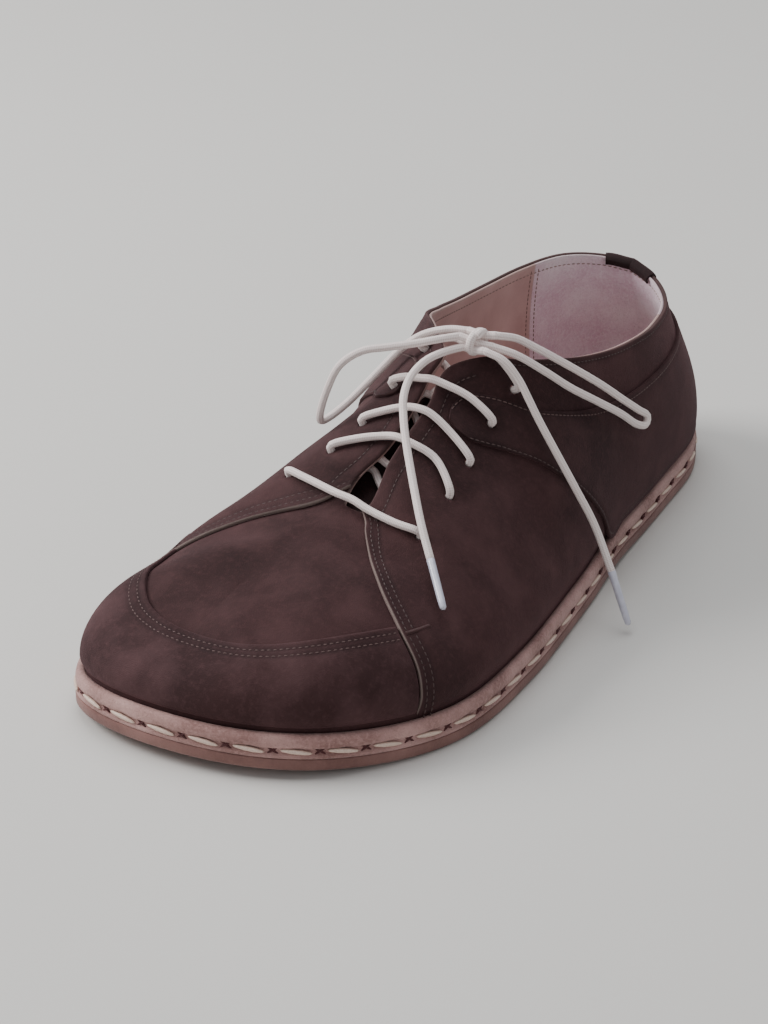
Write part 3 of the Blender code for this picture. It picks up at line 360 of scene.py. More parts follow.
TOP_INNER = (
    ("v", "x", "y", "z"),
    (0.00, -2.0, 125.5, 67.5),
    (0.08, -12.5, 121.5, 69.5),
    (0.16, -21.0, 110.5, 71.6),
    (0.25, -26.5, 92.0, 72.4),
    (0.33, -29.0, 71.0, 73.0),
    (0.40, -28.5, 50.0, 75.5),
    (0.45, -25.5, 34.0, 79.5),
    (0.49, -21.5, 21.0, 83.0),
    (0.515, -13.0, 9.5, 86.0),
    (0.54, -1.5, -3.5, 84.5),
    (0.57, -2.2, -10.5, 78.5),
    (0.60, -2.6, -18.5, 72.0),
    (0.66, -3.8, -35.5, 62.0),
    (0.70, -8.0, -49.5, 54.3),
    (0.715, -5.5, -57.0, 52.3),
)
RIDGE = (
    ("v", "x", "y", "z"),
    (0.715, -5.5, -57.0, 52.3),
    (0.735, -7.8, -62.2, 51.0),
    (0.78, -11.0, -72.0, 48.5),
    (0.84, -13.5, -82.0, 45.5),
    (0.90, -15.5, -90.5, 43.0),
    (0.96, -17.0, -96.0, 41.2),
    (1.00, -17.5, -98.0, 40.5),
)
SECTION = (
    ("v", "inner_slope", "outer_slope", "foot_lean", "foot_hold", "inner_hold", "outer_hold"),
    (0.00, 78.0, 78.0, 4.0, 0.42, 0.35, 0.35),
    (0.10, 78.0, 78.0, 4.0, 0.42, 0.35, 0.35),
    (0.25, 77.0, 77.0, 5.0, 0.40, 0.35, 0.35),
    (0.40, 74.0, 74.0, 6.0, 0.35, 0.35, 0.35),
    (0.49, 62.0, 62.0, 8.0, 0.32, 0.35, 0.35),
    (0.52, 50.0, 56.0, 9.0, 0.32, 0.28, 0.35),
    (0.54, 34.0, 52.0, 10.0, 0.32, 0.26, 0.35),
    (0.57, 24.0, 46.0, 11.0, 0.32, 0.30, 0.35),
    (0.60, 12.0, 40.0, 12.0, 0.32, 0.38, 0.35),
    (0.63, 5.0, 34.0, 13.0, 0.36, 0.40, 0.37),
    (0.66, 3.0, 28.0, 14.0, 0.41, 0.42, 0.40),
    (0.70, 5.0, 20.0, 15.0, 0.46, 0.50, 0.43),
    (0.76, 8.0, 8.0, 15.0, 0.56, 0.50, 0.50),
    (0.80, 5.0, 5.0, 15.0, 0.60, 0.53, 0.53),
    (0.90, 12.0, 12.0, 12.0, 0.60, 0.52, 0.52),
    (1.00, 16.0, 16.0, 10.0, 0.60, 0.50, 0.50),
)
QUARTER_EDGE = (
    ("u", "inner_v", "outer_v"),
    (0.00, 0.735, 0.747),
    (0.25, 0.727, 0.743),
    (0.47, 0.720, 0.745),
    (0.67, 0.717, 0.739),
    (0.82, 0.716, 0.723),
    (0.93, 0.711, 0.707),
    (1.00, 0.700, 0.700),
)
GUARD_EDGE = (
    ("v", "inner_u", "outer_u"),
    (0.70, 0.42, 0.45),
    (0.74, 0.46, 0.46),
    (0.80, 0.515, 0.487),
    (0.86, 0.562, 0.520),
    (0.93, 0.600, 0.562),
    (1.00, 0.610, 0.610),
)
COUNTER = (
    ("v", "low_u", "high_u"),
    (0.000, 0.02, 0.77),
    (0.100, 0.02, 0.775),
    (0.200, 0.02, 0.765),
    (0.300, 0.02, 0.74),
    (0.400, 0.02, 0.72),
    (0.430, 0.02, 0.73),
    (0.450, 0.21, 0.74),
    (0.478, 0.41, 0.760),
    (0.508, 0.54, 0.790),
    (0.538, 0.65, 0.870),
    (0.562, 0.73, 0.895),
    (0.576, 0.79, 0.900),
    (0.584, 0.85, 0.890),
)
EYELETS = (
    ("outer_v", "outer_u", "inner_v", "inner_u"),
    (0.674, 0.740, 0.667, 0.693),
    (0.629, 0.728, 0.648, 0.780),
    (0.588, 0.736, 0.614, 0.822),
    (0.540, 0.760, 0.572, 0.850),
    (0.506, 0.864, 0.531, 0.914),
)
BARS = (
    ("outer_v", "inner_v", "arc"),
    (0.700, 0.716, 0.000),
    (0.640, 0.648, 0.009),
    (0.605, 0.610, 0.002),
    (0.570, 0.578, 0.004),
    (0.548, 0.552, 0.000),
)

# %% Shape of the skin, for arrays of places


def read(table, x, column):
    """Smooth values of a named table column, passing through every row."""
    place = table[0].index(column)
    rows = np.array(table[1:], dtype=float)
    xs, ys = rows[:, 0], rows[:, place]
    slopes = np.gradient(ys, xs)
    x = np.clip(x, xs[0], xs[-1])
    i = np.minimum(np.searchsorted(xs, x, side="right") - 1, len(xs) - 2)
    step = xs[i + 1] - xs[i]
    t = (x - xs[i]) / step
    low = (2 * t**3 - 3 * t**2 + 1) * ys[i] + (t**3 - 2 * t**2 + t) * step * slopes[i]
    return low + (3 * t**2 - 2 * t**3) * ys[i + 1] + (t**3 - t**2) * step * slopes[i + 1]


def unit(vectors):
    """Vectors of length one."""
    return vectors / np.maximum(np.linalg.norm(vectors, axis=-1, keepdims=True), 1e-9)


def lift(y):
    """Height of the underside above the floor."""
    toe = TOE_LIFT[2] * (np.maximum(-y - TOE_LIFT[0], 0) / TOE_LIFT[1]) ** 1.8
    heel = HEEL_LIFT[2] * (np.maximum(y - HEEL_LIFT[0], 0) / HEEL_LIFT[1]) ** 2
    share = np.clip((y - ARCH_LIFT[0]) / (ARCH_LIFT[1] - ARCH_LIFT[0]), 0, 1)
    return toe + heel + ARCH_LIFT[2] * np.sin(np.pi * share) ** 2


def wrap(w):
    """Bring w back into the range from -1 to 1."""
    return (w + 1) % 2 - 1


def outline_point(w):
    """Outline of the sole in plan."""
    v = 1 - np.abs(w)
    x = np.where(w >= 0, read(OUTLINE, v, "outer_x"), read(OUTLINE, v, "inner_x"))
    return np.stack([x, HALF_LENGTH * np.cos(np.pi * v), np.zeros_like(x)], axis=-1)


def outline_normal(w):
    """Outward direction of the outline."""
    along = outline_point(wrap(w + 0.006)) - outline_point(wrap(w - 0.006))
    return unit(np.stack([along[..., 1], -along[..., 0], np.zeros_like(w)], axis=-1))


def inset_point(w, inset, height=0.0):
    """Outline point moved inwards and up from the underside."""
    flat = outline_point(w)
    point = flat - np.asarray(inset)[..., None] * outline_normal(w)
    point[..., 2] = lift(flat[..., 1]) + height
    return point


def top_point(w):
    """Point of the collar, facing, throat or ridge line."""
    v = 1 - np.abs(w)
    axes = []
    for axis in ("x", "y", "z"):
        side = np.where(w >= 0, read(TOP_OUTER, v, axis), read(TOP_INNER, v, axis))
        axes.append(np.where(v < THROAT_END, side, read(RIDGE, v, axis)))
    return np.stack(axes, axis=-1)


def skin(w, u):
    """Outer face of the vamp and base face of the quarters; below u = 0 it drops into the strip."""
    v = 1 - np.abs(w)
    below = np.minimum(u, 0)
    u = np.clip(u, 0, 1)[..., None]
    foot = inset_point(w, UPPER_INSET, UPPER_SPRINGS_AT)
    top = top_point(w)
    out = outline_normal(w)
    reach = top - foot
    rise = reach[..., 2:3].copy()
    reach[..., 2] = 0
    inward = unit(reach - SQUARE_TO_EDGE * out)
    slope = np.radians(np.where(w >= 0, read(SECTION, v, "outer_slope"), read(SECTION, v, "inner_slope")))[..., None]
    lean = np.radians(read(SECTION, v, "foot_lean"))[..., None]
    foot_hold = read(SECTION, v, "foot_hold")[..., None]
    top_hold = np.where(w >= 0, read(SECTION, v, "outer_hold"), read(SECTION, v, "inner_hold"))[..., None]
    far = np.linalg.norm(reach, axis=-1, keepdims=True)
    up = np.array([0.0, 0.0, 1.0])
    start = out * np.sin(lean) + up * np.cos(lean)
    end = inward * np.cos(slope) + up * np.sin(slope)
    width = far * np.cos(slope) + rise * np.sin(slope)
    first = foot + start * foot_hold * rise
    second = top - end * top_hold * np.minimum(width, np.hypot(far, rise))
    curve = (1 - u)**3 * foot + 3 * (1 - u)**2 * u * first + 3 * (1 - u) * u**2 * second + u**3 * top
    curve[..., 2] += below * (UPPER_SPRINGS_AT - SOLE_THICK - 0.3)
    return curve


def plain_normal(w, u):
    """Outward direction of the skin."""
    along = skin(wrap(w + 0.004), u) - skin(wrap(w - 0.004), u)
    up = skin(w, np.minimum(u + 0.004, 1.0)) - skin(w, u - 0.004)
    return -unit(np.cross(up, along))


def skin_normal(w, u):
    """Outward direction, shared by both sides where they meet on the ridge."""
    here = plain_normal(w, u)
    there = plain_normal(-w, u)
    near_ridge = np.clip((u - 0.80) / 0.20, 0, 1) * np.clip((1 - np.abs(w) - THROAT_END + 0.03) / 0.03, 0, 1)
    return unit(here + there * near_ridge[..., None])


grid_w, grid_u = np.meshgrid(np.linspace(-0.99, 0.99, 9), np.linspace(0, 1, 5))
print("skin from", np.round(skin(grid_w, grid_u).min(axis=(0, 1)), 1), "to",
      np.round(skin(grid_w, grid_u).max(axis=(0, 1)), 1), "mm")

# %% [markdown]
# Worn-in leather isn't a clean surface. Shallow troughs cross the vamp where the foot bends, the
# quarters have soft waves beside the throat, and the leather sinks a little where a lace hole
# pulls on it. Each is one row: a place in millimetres, the way it runs, and its size. A trough
# with a ridge beside it reads as a crease, and none is deeper than the leather is thick.

# %% Soft folds of the worn leather
FOLDS = (
    ("x", "y", "z", "turn", "long", "short", "height"),
    (-12.0, -74.0, 50.0, 12.0, 26.0, 4.5, -0.55),
    (-14.0, -83.0, 47.0, 8.0, 26.0, 5.5, 0.40),
    (-24.0, -98.0, 40.0, -14.0, 30.0, 7.0, -0.45),
    (14.0, -72.0, 43.0, 40.0, 22.0, 6.0, -0.50),
    (30.0, -58.0, 38.0, 62.0, 26.0, 7.0, 0.45),
    (38.0, -40.0, 32.0, 78.0, 30.0, 7.0, -0.60),
    (32.0, -14.0, 44.0, 66.0, 26.0, 7.0, -0.55),
    (36.0, 4.0, 40.0, 84.0, 30.0, 8.0, 0.50),
    (34.0, 30.0, 42.0, 96.0, 26.0, 8.0, -0.45),
    (28.0, 92.0, 40.0, 108.0, 22.0, 9.0, 0.45),
    (-46.0, -40.0, 36.0, 104.0, 30.0, 8.0, -0.60),
    (-40.0, -12.0, 44.0, 92.0, 28.0, 8.0, 0.50),
    (-36.0, 22.0, 42.0, 86.0, 28.0, 9.0, -0.50),
    (-28.0, 88.0, 40.0, 74.0, 22.0, 9.0, 0.40),
    (-38.0, -112.0, 26.0, 40.0, 24.0, 9.0, -0.45),
    (6.0, -112.0, 26.0, -34.0, 24.0, 9.0, 0.40),
)
hole_w = np.array([[1 - row[0], row[2] - 1] for row in EYELETS[1:]])
hole_u = np.array([[row[1], row[3]] for row in EYELETS[1:]])
HOLE_POINTS = skin(hole_w, hole_u).reshape(-1, 3)


def folds(points):
    """Height added to the skin at points in millimetres."""
    height = np.zeros(points.shape[:-1])
    for x, y, z, turn, long, short, rise in FOLDS[1:]:
        away = points - np.array([x, y, z])
        turn = np.radians(turn)
        along = away[..., 0] * np.cos(turn) + away[..., 1] * np.sin(turn)
        across = -away[..., 0] * np.sin(turn) + away[..., 1] * np.cos(turn)
        height += rise * np.exp(-(along / long) ** 2 - (across / short) ** 2 - (away[..., 2] / 22.0) ** 2)
    for hole in HOLE_POINTS:
        height -= 0.40 * np.exp(-(np.linalg.norm(points - hole, axis=-1) / 3.4) ** 2)
    return height


def over(w, u, height):
    """Points at a height above the folded skin."""
    w, u, height = np.broadcast_arrays(np.asarray(w, float), np.asarray(u, float), np.asarray(height, float))
    base = skin(w, u)
    return base + (height + folds(base))[..., None] * skin_normal(w, u)


print("folds:", len(FOLDS) - 1, "deepest", round(float(folds(skin(grid_w, grid_u)).min()), 2), "mm")

# %% [markdown]
# The cords come first, because their length and place are facts that the solids already hold.
# The bow's two loops and two ends are one lace of about 1.1 m in all, of which the laced part
# takes half a metre. The tubes are 2.5 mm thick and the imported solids 2.8 mm, because the real
# lace looks thinner than the solids. A tube is swept along a smooth line through the route's
# points, in mesh code and not as a bevelled curve, because the braid needs a UV map along it.

# %% Cord routes, in metres
LACE_DIA = 0.0025
OUTER_LOOP = (
    (12.8, 4.0, 90.2),
    (16.8, 9.6, 88.0),
    (20.8, 13.6, 84.6),
    (25.3, 19.6, 79.4),
    (30.5, 28.5, 71.8),
    (33.8, 36.8, 64.9),
    (36.5, 45.7, 57.2),
    (38.2, 54.4, 50.2),
    (39.6, 58.2, 46.8),
    (40.0, 56.4, 44.6),
    (39.4, 51.6, 46.4),
    (37.6, 42.9, 53.4),
    (34.6, 30.8, 62.2),
    (30.4, 20.6, 70.0),
    (25.6, 12.0, 78.0),
    (19.4, 5.2, 84.6),
    (13.0, 1.4, 87.4),
)
INNER_LOOP = (
    (3.2, 3.4, 89.9),
    (-3.0, 1.8, 89.6),
    (-10.7, -1.0, 87.1),
    (-16.8, -4.0, 82.2),
    (-21.1, -8.0, 76.5),
    (-24.8, -12.7, 71.1),
    (-28.4, -17.9, 66.0),
    (-31.4, -23.6, 62.6),
    (-32.6, -27.4, 62.2),
    (-32.0, -29.2, 65.4),
    (-30.0, -27.6, 74.4),
    (-26.9, -25.2, 82.1),
    (-21.4, -21.2, 86.6),
    (-14.5, -16.8, 87.9),
    (-7.6, -12.4, 89.0),
    (-1.2, -7.5, 90.2),
    (3.0, -2.4, 90.2),
)
FRONT_END = (
    (5.0, -2.8, 87.2),
    (1.1, -8.0, 86.6),
    (-2.1, -14.4, 85.2),
    (-3.1, -21.9, 82.4),
    (-1.6, -28.6, 78.6),
    (1.7, -34.1, 74.2),
    (5.5, -39.1, 69.9),
    (15.6, -50.8, 60.2),
    (22.8, -58.6, 53.4),
    (29.6, -64.6, 46.2),
)
SIDE_END = (
    (12.2, -2.4, 87.2),
    (18.2, -0.9, 84.8),
    (22.8, 0.5, 79.1),
    (26.6, 0.6, 73.0),
    (30.3, 0.6, 66.8),
    (43.2, 2.0, 45.6),
    (49.0, 4.6, 33.0),
    (56.2, 3.6, 18.6),
)


def smooth_line(route, spacing):
    """Evenly spaced points on a smooth curve through the route."""
    route = [np.asarray(p, dtype=float) for p in route]
    padded = [2 * route[0] - route[1]] + route + [2 * route[-1] - route[-2]]
    dense = []
    for p0, p1, p2, p3 in zip(padded, padded[1:], padded[2:], padded[3:]):
        a, b, c = (np.sqrt(max(np.linalg.norm(q - p), 1e-6)) for p, q in ((p0, p1), (p1, p2), (p2, p3)))
        m1 = (p2 - p1) + b * ((p1 - p0) / a - (p2 - p0) / (a + b))
        m2 = (p2 - p1) + b * ((p3 - p2) / c - (p3 - p1) / (b + c))
        for t in np.linspace(0, 1, 12, endpoint=False):
            dense.append((2 * t**3 - 3 * t**2 + 1) * p1 + (t**3 - 2 * t**2 + t) * m1
                         + (3 * t**2 - 2 * t**3) * p2 + (t**3 - t**2) * m2)
    dense = np.array(dense + [route[-1]])
    travelled = np.concatenate([[0], np.cumsum(np.linalg.norm(np.diff(dense, axis=0), axis=1))])
    marks = np.linspace(0, travelled[-1], max(int(round(travelled[-1] / spacing)), 2) + 1)
    return np.stack([np.interp(marks, travelled, dense[:, axis]) for axis in range(3)], axis=1)


def line_length(line):
    """Length of a line of points."""
    return float(np.linalg.norm(np.diff(line, axis=0), axis=1).sum())


def show(name, mesh, material, smooth=True):
    """Object at the origin with one material."""
    piece = bpy.data.objects.new(name, mesh)
    bpy.context.scene.collection.objects.link(piece)
    if material is not None:
        mesh.materials.clear()
        mesh.materials.append(material)
    if smooth:
        mesh.polygons.foreach_set("use_smooth", [True] * len(mesh.polygons))
    return piece


def tube(name, lines, diameter, material, sides=12, flat=1.0):
    """Closed round tubes along lines in metres, with rounded ends and the braid's UV map."""
    points, faces, uvs = [], [], []
    for line in lines:
        ahead = unit(np.gradient(line, axis=0))
        side = unit(np.cross(ahead[0], [0.12, 0.25, 1.0]))
        first = line[0] - ahead[0] * diameter * 0.25
        last = line[-1] + ahead[-1] * diameter * 0.25
        rings = [(first, ahead[0], 0.55)] + [(p, a, 1.0) for p, a in zip(line, ahead)] + [(last, ahead[-1], 0.55)]
        base = len(points)
        lengths = []
        travelled = 0.0
        before = rings[0][0]
        for centre, way, share in rings:
            travelled += float(np.linalg.norm(centre - before))
            before = centre
            lengths.append(travelled * 100)
            side = unit(side - way * np.dot(side, way))
            other = np.cross(way, side)
            for k in range(sides):
                angle = 2 * np.pi * k / sides
                reach = diameter / 2 * share
                points.append(centre + reach * (np.cos(angle) * side + flat * np.sin(angle) * other))
        for r in range(len(rings) - 1):
            for k in range(sides):
                j = (k + 1) % sides
                faces.append((base + r * sides + k, base + r * sides + j,
                              base + (r + 1) * sides + j, base + (r + 1) * sides + k))
                uvs += [(k / sides, lengths[r]), ((k + 1) / sides, lengths[r]),
                        ((k + 1) / sides, lengths[r + 1]), (k / sides, lengths[r + 1])]
        for r, step in ((0, -1), (len(rings) - 1, 1)):
            faces.append(tuple(base + r * sides + k for k in range(sides)[::step]))
            uvs += [(0.0, lengths[r])] * sides
    mesh = bpy.data.meshes.new(name)
    mesh.from_pydata([tuple(p) for p in points], [], faces)
    mesh.uv_layers.new(name="braid").data.foreach_set("uv", np.array(uvs).ravel())
    return show(name, mesh, material)


def in_metres(points):
    """Places of the last in the finished shoe, in metres."""
    return (np.asarray(points) + CENTRE) * MM


def ride_for(piece, slot, *nodes):
    """The shoe has one body; a piece rides on it and stands for its nodes."""
    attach(piece, "root")
    if nodes:
        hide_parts(*nodes)


# %% Loops, ends and tips of the bow
TIP_LENGTH = 17.2
TIP_DIA = 0.0026
TIP_RINGS = np.linspace(0, 1, 12)
tips = {}
for name, route, tip_end in (("front", FRONT_END, (42.4, -77.4, 36.2)), ("side", SIDE_END, (64.4, 0.4, 3.4))):
    start = np.array(route[-1])
    ahead = unit(np.array(tip_end) - start)
    line = in_metres([start + ahead * (0.1 + t) for t in TIP_RINGS * TIP_LENGTH])
    shares = np.interp(TIP_RINGS, (0, 0.08, 0.85, 1), (1.02, 0.98, 0.90, 0.78))
    tips[name] = tube("lace_tip_" + name, [line], TIP_DIA, TIP_FILM)
    middle = line[0]
    way = unit(line[-1] - line[0])
    for corner in tips[name].data.vertices:
        place = np.array(corner.co)
        axis_point = middle + way * np.dot(place - middle, way)
        share = np.interp(np.dot(place - middle, way) / (TIP_LENGTH * MM), TIP_RINGS, shares)
        corner.co = axis_point + (place - axis_point) * share
    ride_for(tips[name], "aglet_plastic", "aglet_" + name)

knot_lines = [
    smooth_line([(12.8, 4.0, 90.2), (9.6, 3.0, 90.0), (6.2, 2.9, 89.9), (3.2, 3.4, 89.9)], 0.7),
    smooth_line([(13.0, 1.4, 87.4), (9.8, 0.2, 87.9), (6.0, -1.3, 89.3), (3.0, -2.4, 90.2)], 0.7),
    smooth_line([(5.0, -2.8, 87.2), (7.0, -2.0, 86.6), (9.8, -1.7, 86.6), (12.2, -2.4, 87.2)], 0.7),
]
turn = np.linspace(0, 2 * np.pi * 1.25, 40)
wrap_line = np.stack([8.0 + 0.9 * np.cos(turn * 0.8 + 0.6), 0.5 + 3.5 * np.cos(turn + 0.5),
                      88.3 + 3.3 * np.sin(turn + 0.5)], axis=1)
knot = tube("bow_knot", [in_metres(line) for line in knot_lines + [wrap_line]], LACE_DIA * 1.08, LACE_COTTON)
ride_for(knot, "lace_cotton", "lace_knot")

CORDS = (
    ("name", "route", "far_end", "tip"),
    ("lace_loop_outer", OUTER_LOOP, "object", None),
    ("lace_loop_inner", INNER_LOOP, "object", None),
    ("lace_end_front", FRONT_END, "fitting", "front"),
    ("lace_end_side", SIDE_END, "fitting", "side"),
)
for name, route, far_end, tip in CORDS[1:]:
    line = in_metres(smooth_line(route, 1.2))
    cord = tube("cotton_" + name, [line], LACE_DIA, LACE_COTTON)
    ride_for(cord, "lace_cotton", name)
    print(name, "length in mm:", round(line_length(line) * 1000))

# %% [markdown]
# The laced part runs through ten punched holes: five bars, of which the lowest is straight and
# the others bow to the outer side, and hidden runs under the facings. The route is worked out
# from the holes, as a person laces the shoe, and climbs from the two top holes to the knot.

# %% The laced part
BAR_HEIGHT = 3.2
OVER_WING = 1.5
LACE_RUN = (
    ("hole", "side", "height", "bow"),
    (5, 1, -3.0, -1.4),
    (3, -1, BAR_HEIGHT, 0.6),
    (3, 1, -3.0, -1.2),
    (1, -1, BAR_HEIGHT, 0.6),
    (1, 1, -6.1, 0.0),
    (2, -1, BAR_HEIGHT, 0.6),
    (2, 1, -6.1, 0.0),
    (4, -1, BAR_HEIGHT, 0.6),
    (4, 1, -6.1, 0.0),
    (5, -1, BAR_HEIGHT, 0.0),
)


def hole_place(number, side):
    """Place of a lace hole in w and u."""
    outer_v, outer_u, inner_v, inner_u = EYELETS[number]
    return (1 - outer_v, outer_u) if side > 0 else (inner_v - 1, inner_u)


def run_to_edge(number, side, v, height):
    """Points of the lace from a hole to the facing edge."""
    hole = np.array(hole_place(number, side))
    edge = np.array([side * (1 - v), 1.0])
    wing = OVER_WING if number == 4 and height > 0 else 0.0
    places = [hole + (edge - hole) * t for t in (0.02, 0.45, 0.90)]
    if side > 0 and height > 0:
        places[1] = places[1] + np.array([BARS[number][2], 0.0])
    return [over(w, u, level) for (w, u), level in zip(places, (height + wing, height + wing, height))]


def laced_route():
    """Route points from the top outer hole to the top inner hole."""
    route = []
    runs = LACE_RUN[1:]
    for (number, side, height, bow), (other, other_side, _, _) in zip(runs, runs[1:]):
        into_hole = (-1.0, height - 2.0) if height > 0 else (1.2, -1.0)
        route += [over(*hole_place(number, side), level) for level in into_hole]
        here_v = BARS[number][0 if side > 0 else 1]
        there_v = BARS[other][0 if other_side > 0 else 1]
        if number != other:
            here_v = there_v = (here_v + there_v) / 2
        here = run_to_edge(number, side, here_v, height)
        there = run_to_edge(other, other_side, there_v, height)
        middle = (here[-1] + there[-1]) / 2
        middle[2] += bow
        route += here + [middle] + there[::-1]
    return route + [over(*hole_place(runs[-1][0], runs[-1][1]), level) for level in (-1.0, 1.2)]


route = laced_route()
outer_rise = [np.array((12.6, 0.4, 85.4)), np.array((15.6, 0.6, 84.6)), over(*hole_place(5, 1), 4.4)]
inner_rise = [over(*hole_place(5, -1), 4.2), np.array((-2.0, 2.2, 86.6)), np.array((3.6, 1.2, 86.9))]
laced = smooth_line(outer_rise + route + inner_rise, 1.3)
bars = tube("laced_cotton", [in_metres(laced)], LACE_DIA, LACE_COTTON, sides=10)
ride_for(bars, "lace_cotton", "lace_bars")
print("laced part in mm:", round(line_length(laced)))

# %% [markdown]
# Sole sheet and edge strip follow the outline. Forty-seven long stitches hold them together, so
# the outline is divided into eight stations for each stitch. Between two stitches the thread
# pulls the strip in, and its top edge was cut by hand, so both are worked into the section's
# points. Nothing else on the shoe is as regular, and this rhythm is what the eye sees first.

# %% Stations round the edge
STITCH_COUNT = 47
PER_STITCH = 8
FIRST_STITCH = 8.64
dense_w = np.linspace(-1, 1, 6001)
dense_line = outline_point(dense_w)
dense_arc = np.concatenate([[0], np.cumsum(np.linalg.norm(np.diff(dense_line, axis=0), axis=1))])
EDGE_LENGTH = dense_arc[-1]
EDGE_PITCH = EDGE_LENGTH / STITCH_COUNT
STATION_ARC = (FIRST_STITCH + np.arange(STITCH_COUNT * PER_STITCH) * EDGE_PITCH / PER_STITCH) % EDGE_LENGTH
STATION_W = np.interp(STATION_ARC, dense_arc, dense_w)
print("edge in mm:", round(EDGE_LENGTH, 1), "stitch pitch in mm:", round(EDGE_PITCH, 2))


def uneven(arc, size, seed):
    """Hand-cut waver along the edge: a few waves that close on the outline."""
    turn = 2 * np.pi * np.asarray(arc) / EDGE_LENGTH
    rng = np.random.default_rng(seed)
    waves = sum(rng.normal() * np.sin(n * turn + rng.uniform(0, 6.28)) / np.sqrt(n) for n in (7, 13, 29, 53, 97, 131))
    return size * waves


def edge_rings(levels):
    """Rings of points on the stations for pairs of inset and height."""
    return [inset_point(STATION_W, np.broadcast_to(inset, STATION_W.shape), height) for inset, height in levels]


def ring_mesh(name, rings, closed):
    """Mesh lofted through rings, either a closed section or capped across the foot."""
    count = len(STATION_W)
    points = np.concatenate(rings)
    faces = []
    pairs = list(zip(range(len(rings)), range(1, len(rings)))) + ([(len(rings) - 1, 0)] if closed else [])
    for low, high in pairs:
        for i in range(count):
            j = (i + 1) % count
            faces.append((low * count + i, low * count + j, high * count + j, high * count + i))
    if not closed:
        for ring in (0, len(rings) - 1):
            base = ring * count
            for i in range(1, count // 2 - 1):
                faces.append((base + i, base + i + 1, base + count - i - 1, base + count - i))
            faces.append((base, base + 1, base + count - 1))
            faces.append((base + count // 2 - 1, base + count // 2, base + count // 2 + 1))
    mesh = bpy.data.meshes.new(name)
    mesh.from_pydata([tuple(p) for p in in_metres(points)], [], faces)
    work = bmesh.new()
    work.from_mesh(mesh)
    bmesh.ops.recalc_face_normals(work, faces=work.faces)
    work.to_mesh(mesh)
    work.free()
    return mesh


# %% Sole sheet and edge strip
between_stitches = np.abs(((np.arange(len(STATION_W)) / PER_STITCH) % 1.0) - 0.5) < 0.001
near_pinch = np.abs(((np.arange(len(STATION_W)) / PER_STITCH) % 1.0) - 0.5) < 0.13
pinch = 0.42 * between_stitches + 0.22 * (near_pinch & ~between_stitches)
sole_levels = [
    (1.3, 0.0),
    (0.45, 0.25),
    (0.05, 0.95),
    (0.0 + uneven(STATION_ARC, 0.03, 3), 2.2),
    (0.02, 3.6),
    (0.22, SOLE_THICK + 0.05),
    (3.0, SOLE_THICK + 0.12),
]
sole = show("sole_sheet", ring_mesh("sole_sheet", edge_rings(sole_levels), False), SOLE_SHEET)
ride_for(sole, "outsole_rubber", "outsole")

top_waver = uneven(STATION_ARC, 0.30, 11)
strip_levels = [
    (0.30, SOLE_THICK + 0.16),
    (0.02 + 0.3 * pinch, SOLE_THICK + 0.55),
    (0.06 + pinch, GROOVE_AT - 1.25),
    (0.75 + pinch, GROOVE_AT - 0.70),
    (1.00 + pinch, GROOVE_AT),
    (0.75 + pinch, GROOVE_AT + 0.70),
    (0.14 + pinch, GROOVE_AT + 1.25),
    (0.02 + 0.4 * pinch + uneven(STATION_ARC, 0.03, 5), GROOVE_AT + 2.1),
    (0.30 + uneven(STATION_ARC, 0.05, 7), RAND_TOP - 1.7 + 0.5 * top_waver),
    (0.70 + uneven(STATION_ARC, 0.07, 9), RAND_TOP - 0.45 + top_waver),
    (1.60, RAND_TOP - 0.05 + top_waver),
    (2.55, RAND_TOP - 0.10 + 0.6 * top_waver),
    (UPPER_INSET + 0.25, RAND_TOP - 0.7),
    (UPPER_INSET + 0.25, SOLE_THICK + 0.16),
]
strip = show("edge_strip", ring_mesh("edge_strip", edge_rings(strip_levels), True), RAND_LEATHER)
ride_for(strip, "rand_leather", "rand")
print("edge strip faces:", len(strip.data.polygons))

# %% [markdown]
# Seams are written once, as lines of places on the skin, before the panels are made. A panel then asks how far each
# of its points lies from the nearest seam: within about a millimetre the leather is pulled down by the thread, and an
# attribute named seam paints it darker, for the pressed nap and as painted shade in the dip. The same lines carry the
# stitches later, so a stitch always lies in its own dip.

# %% Seam lines


def guard_place(s, t):
    """Place on the toe guard: s across from the inner to the outer side, t from the strip to the seam."""
    side = np.where(s >= 0, 1.0, -1.0)
    seam_v = [np.where(s >= 0, read(QUARTER_EDGE, 0.0, "outer_v"), read(QUARTER_EDGE, 0.0, "inner_v"))]
    v = 1 - np.abs(s) * (1 - seam_v[0] - GUARD_TO_QUARTER)
    for _ in range(4):
        high = np.where(s >= 0, read(GUARD_EDGE, v, "outer_u"), read(GUARD_EDGE, v, "inner_u"))
        u = 0.02 + (high - 0.02) * t
        edge_v = np.where(s >= 0, read(QUARTER_EDGE, u, "outer_v"), read(QUARTER_EDGE, u, "inner_v"))
        v = 1 - np.abs(s) * (1 - edge_v - GUARD_TO_QUARTER)
    return side * (1 - v), u


def counter_place(s, t):
    """Place on the heel counter: s from the inner wing over the heel to the outer wing."""
    v = np.abs(s)
    low = read(COUNTER, v, "low_u")
    high = read(COUNTER, v, "high_u")
    return wrap(np.where(s >= 0, 1.0, -1.0) * (1 - v)), low + (high - low) * t


def quarter_line(side, back, low=0.0, high=1.0):
    """Line behind the quarter's front edge; back is a share of the outline."""
    u = np.linspace(low, high, 120)
    v = read(QUARTER_EDGE, u, "outer_v" if side > 0 else "inner_v") - back
    return side * (1 - v), u


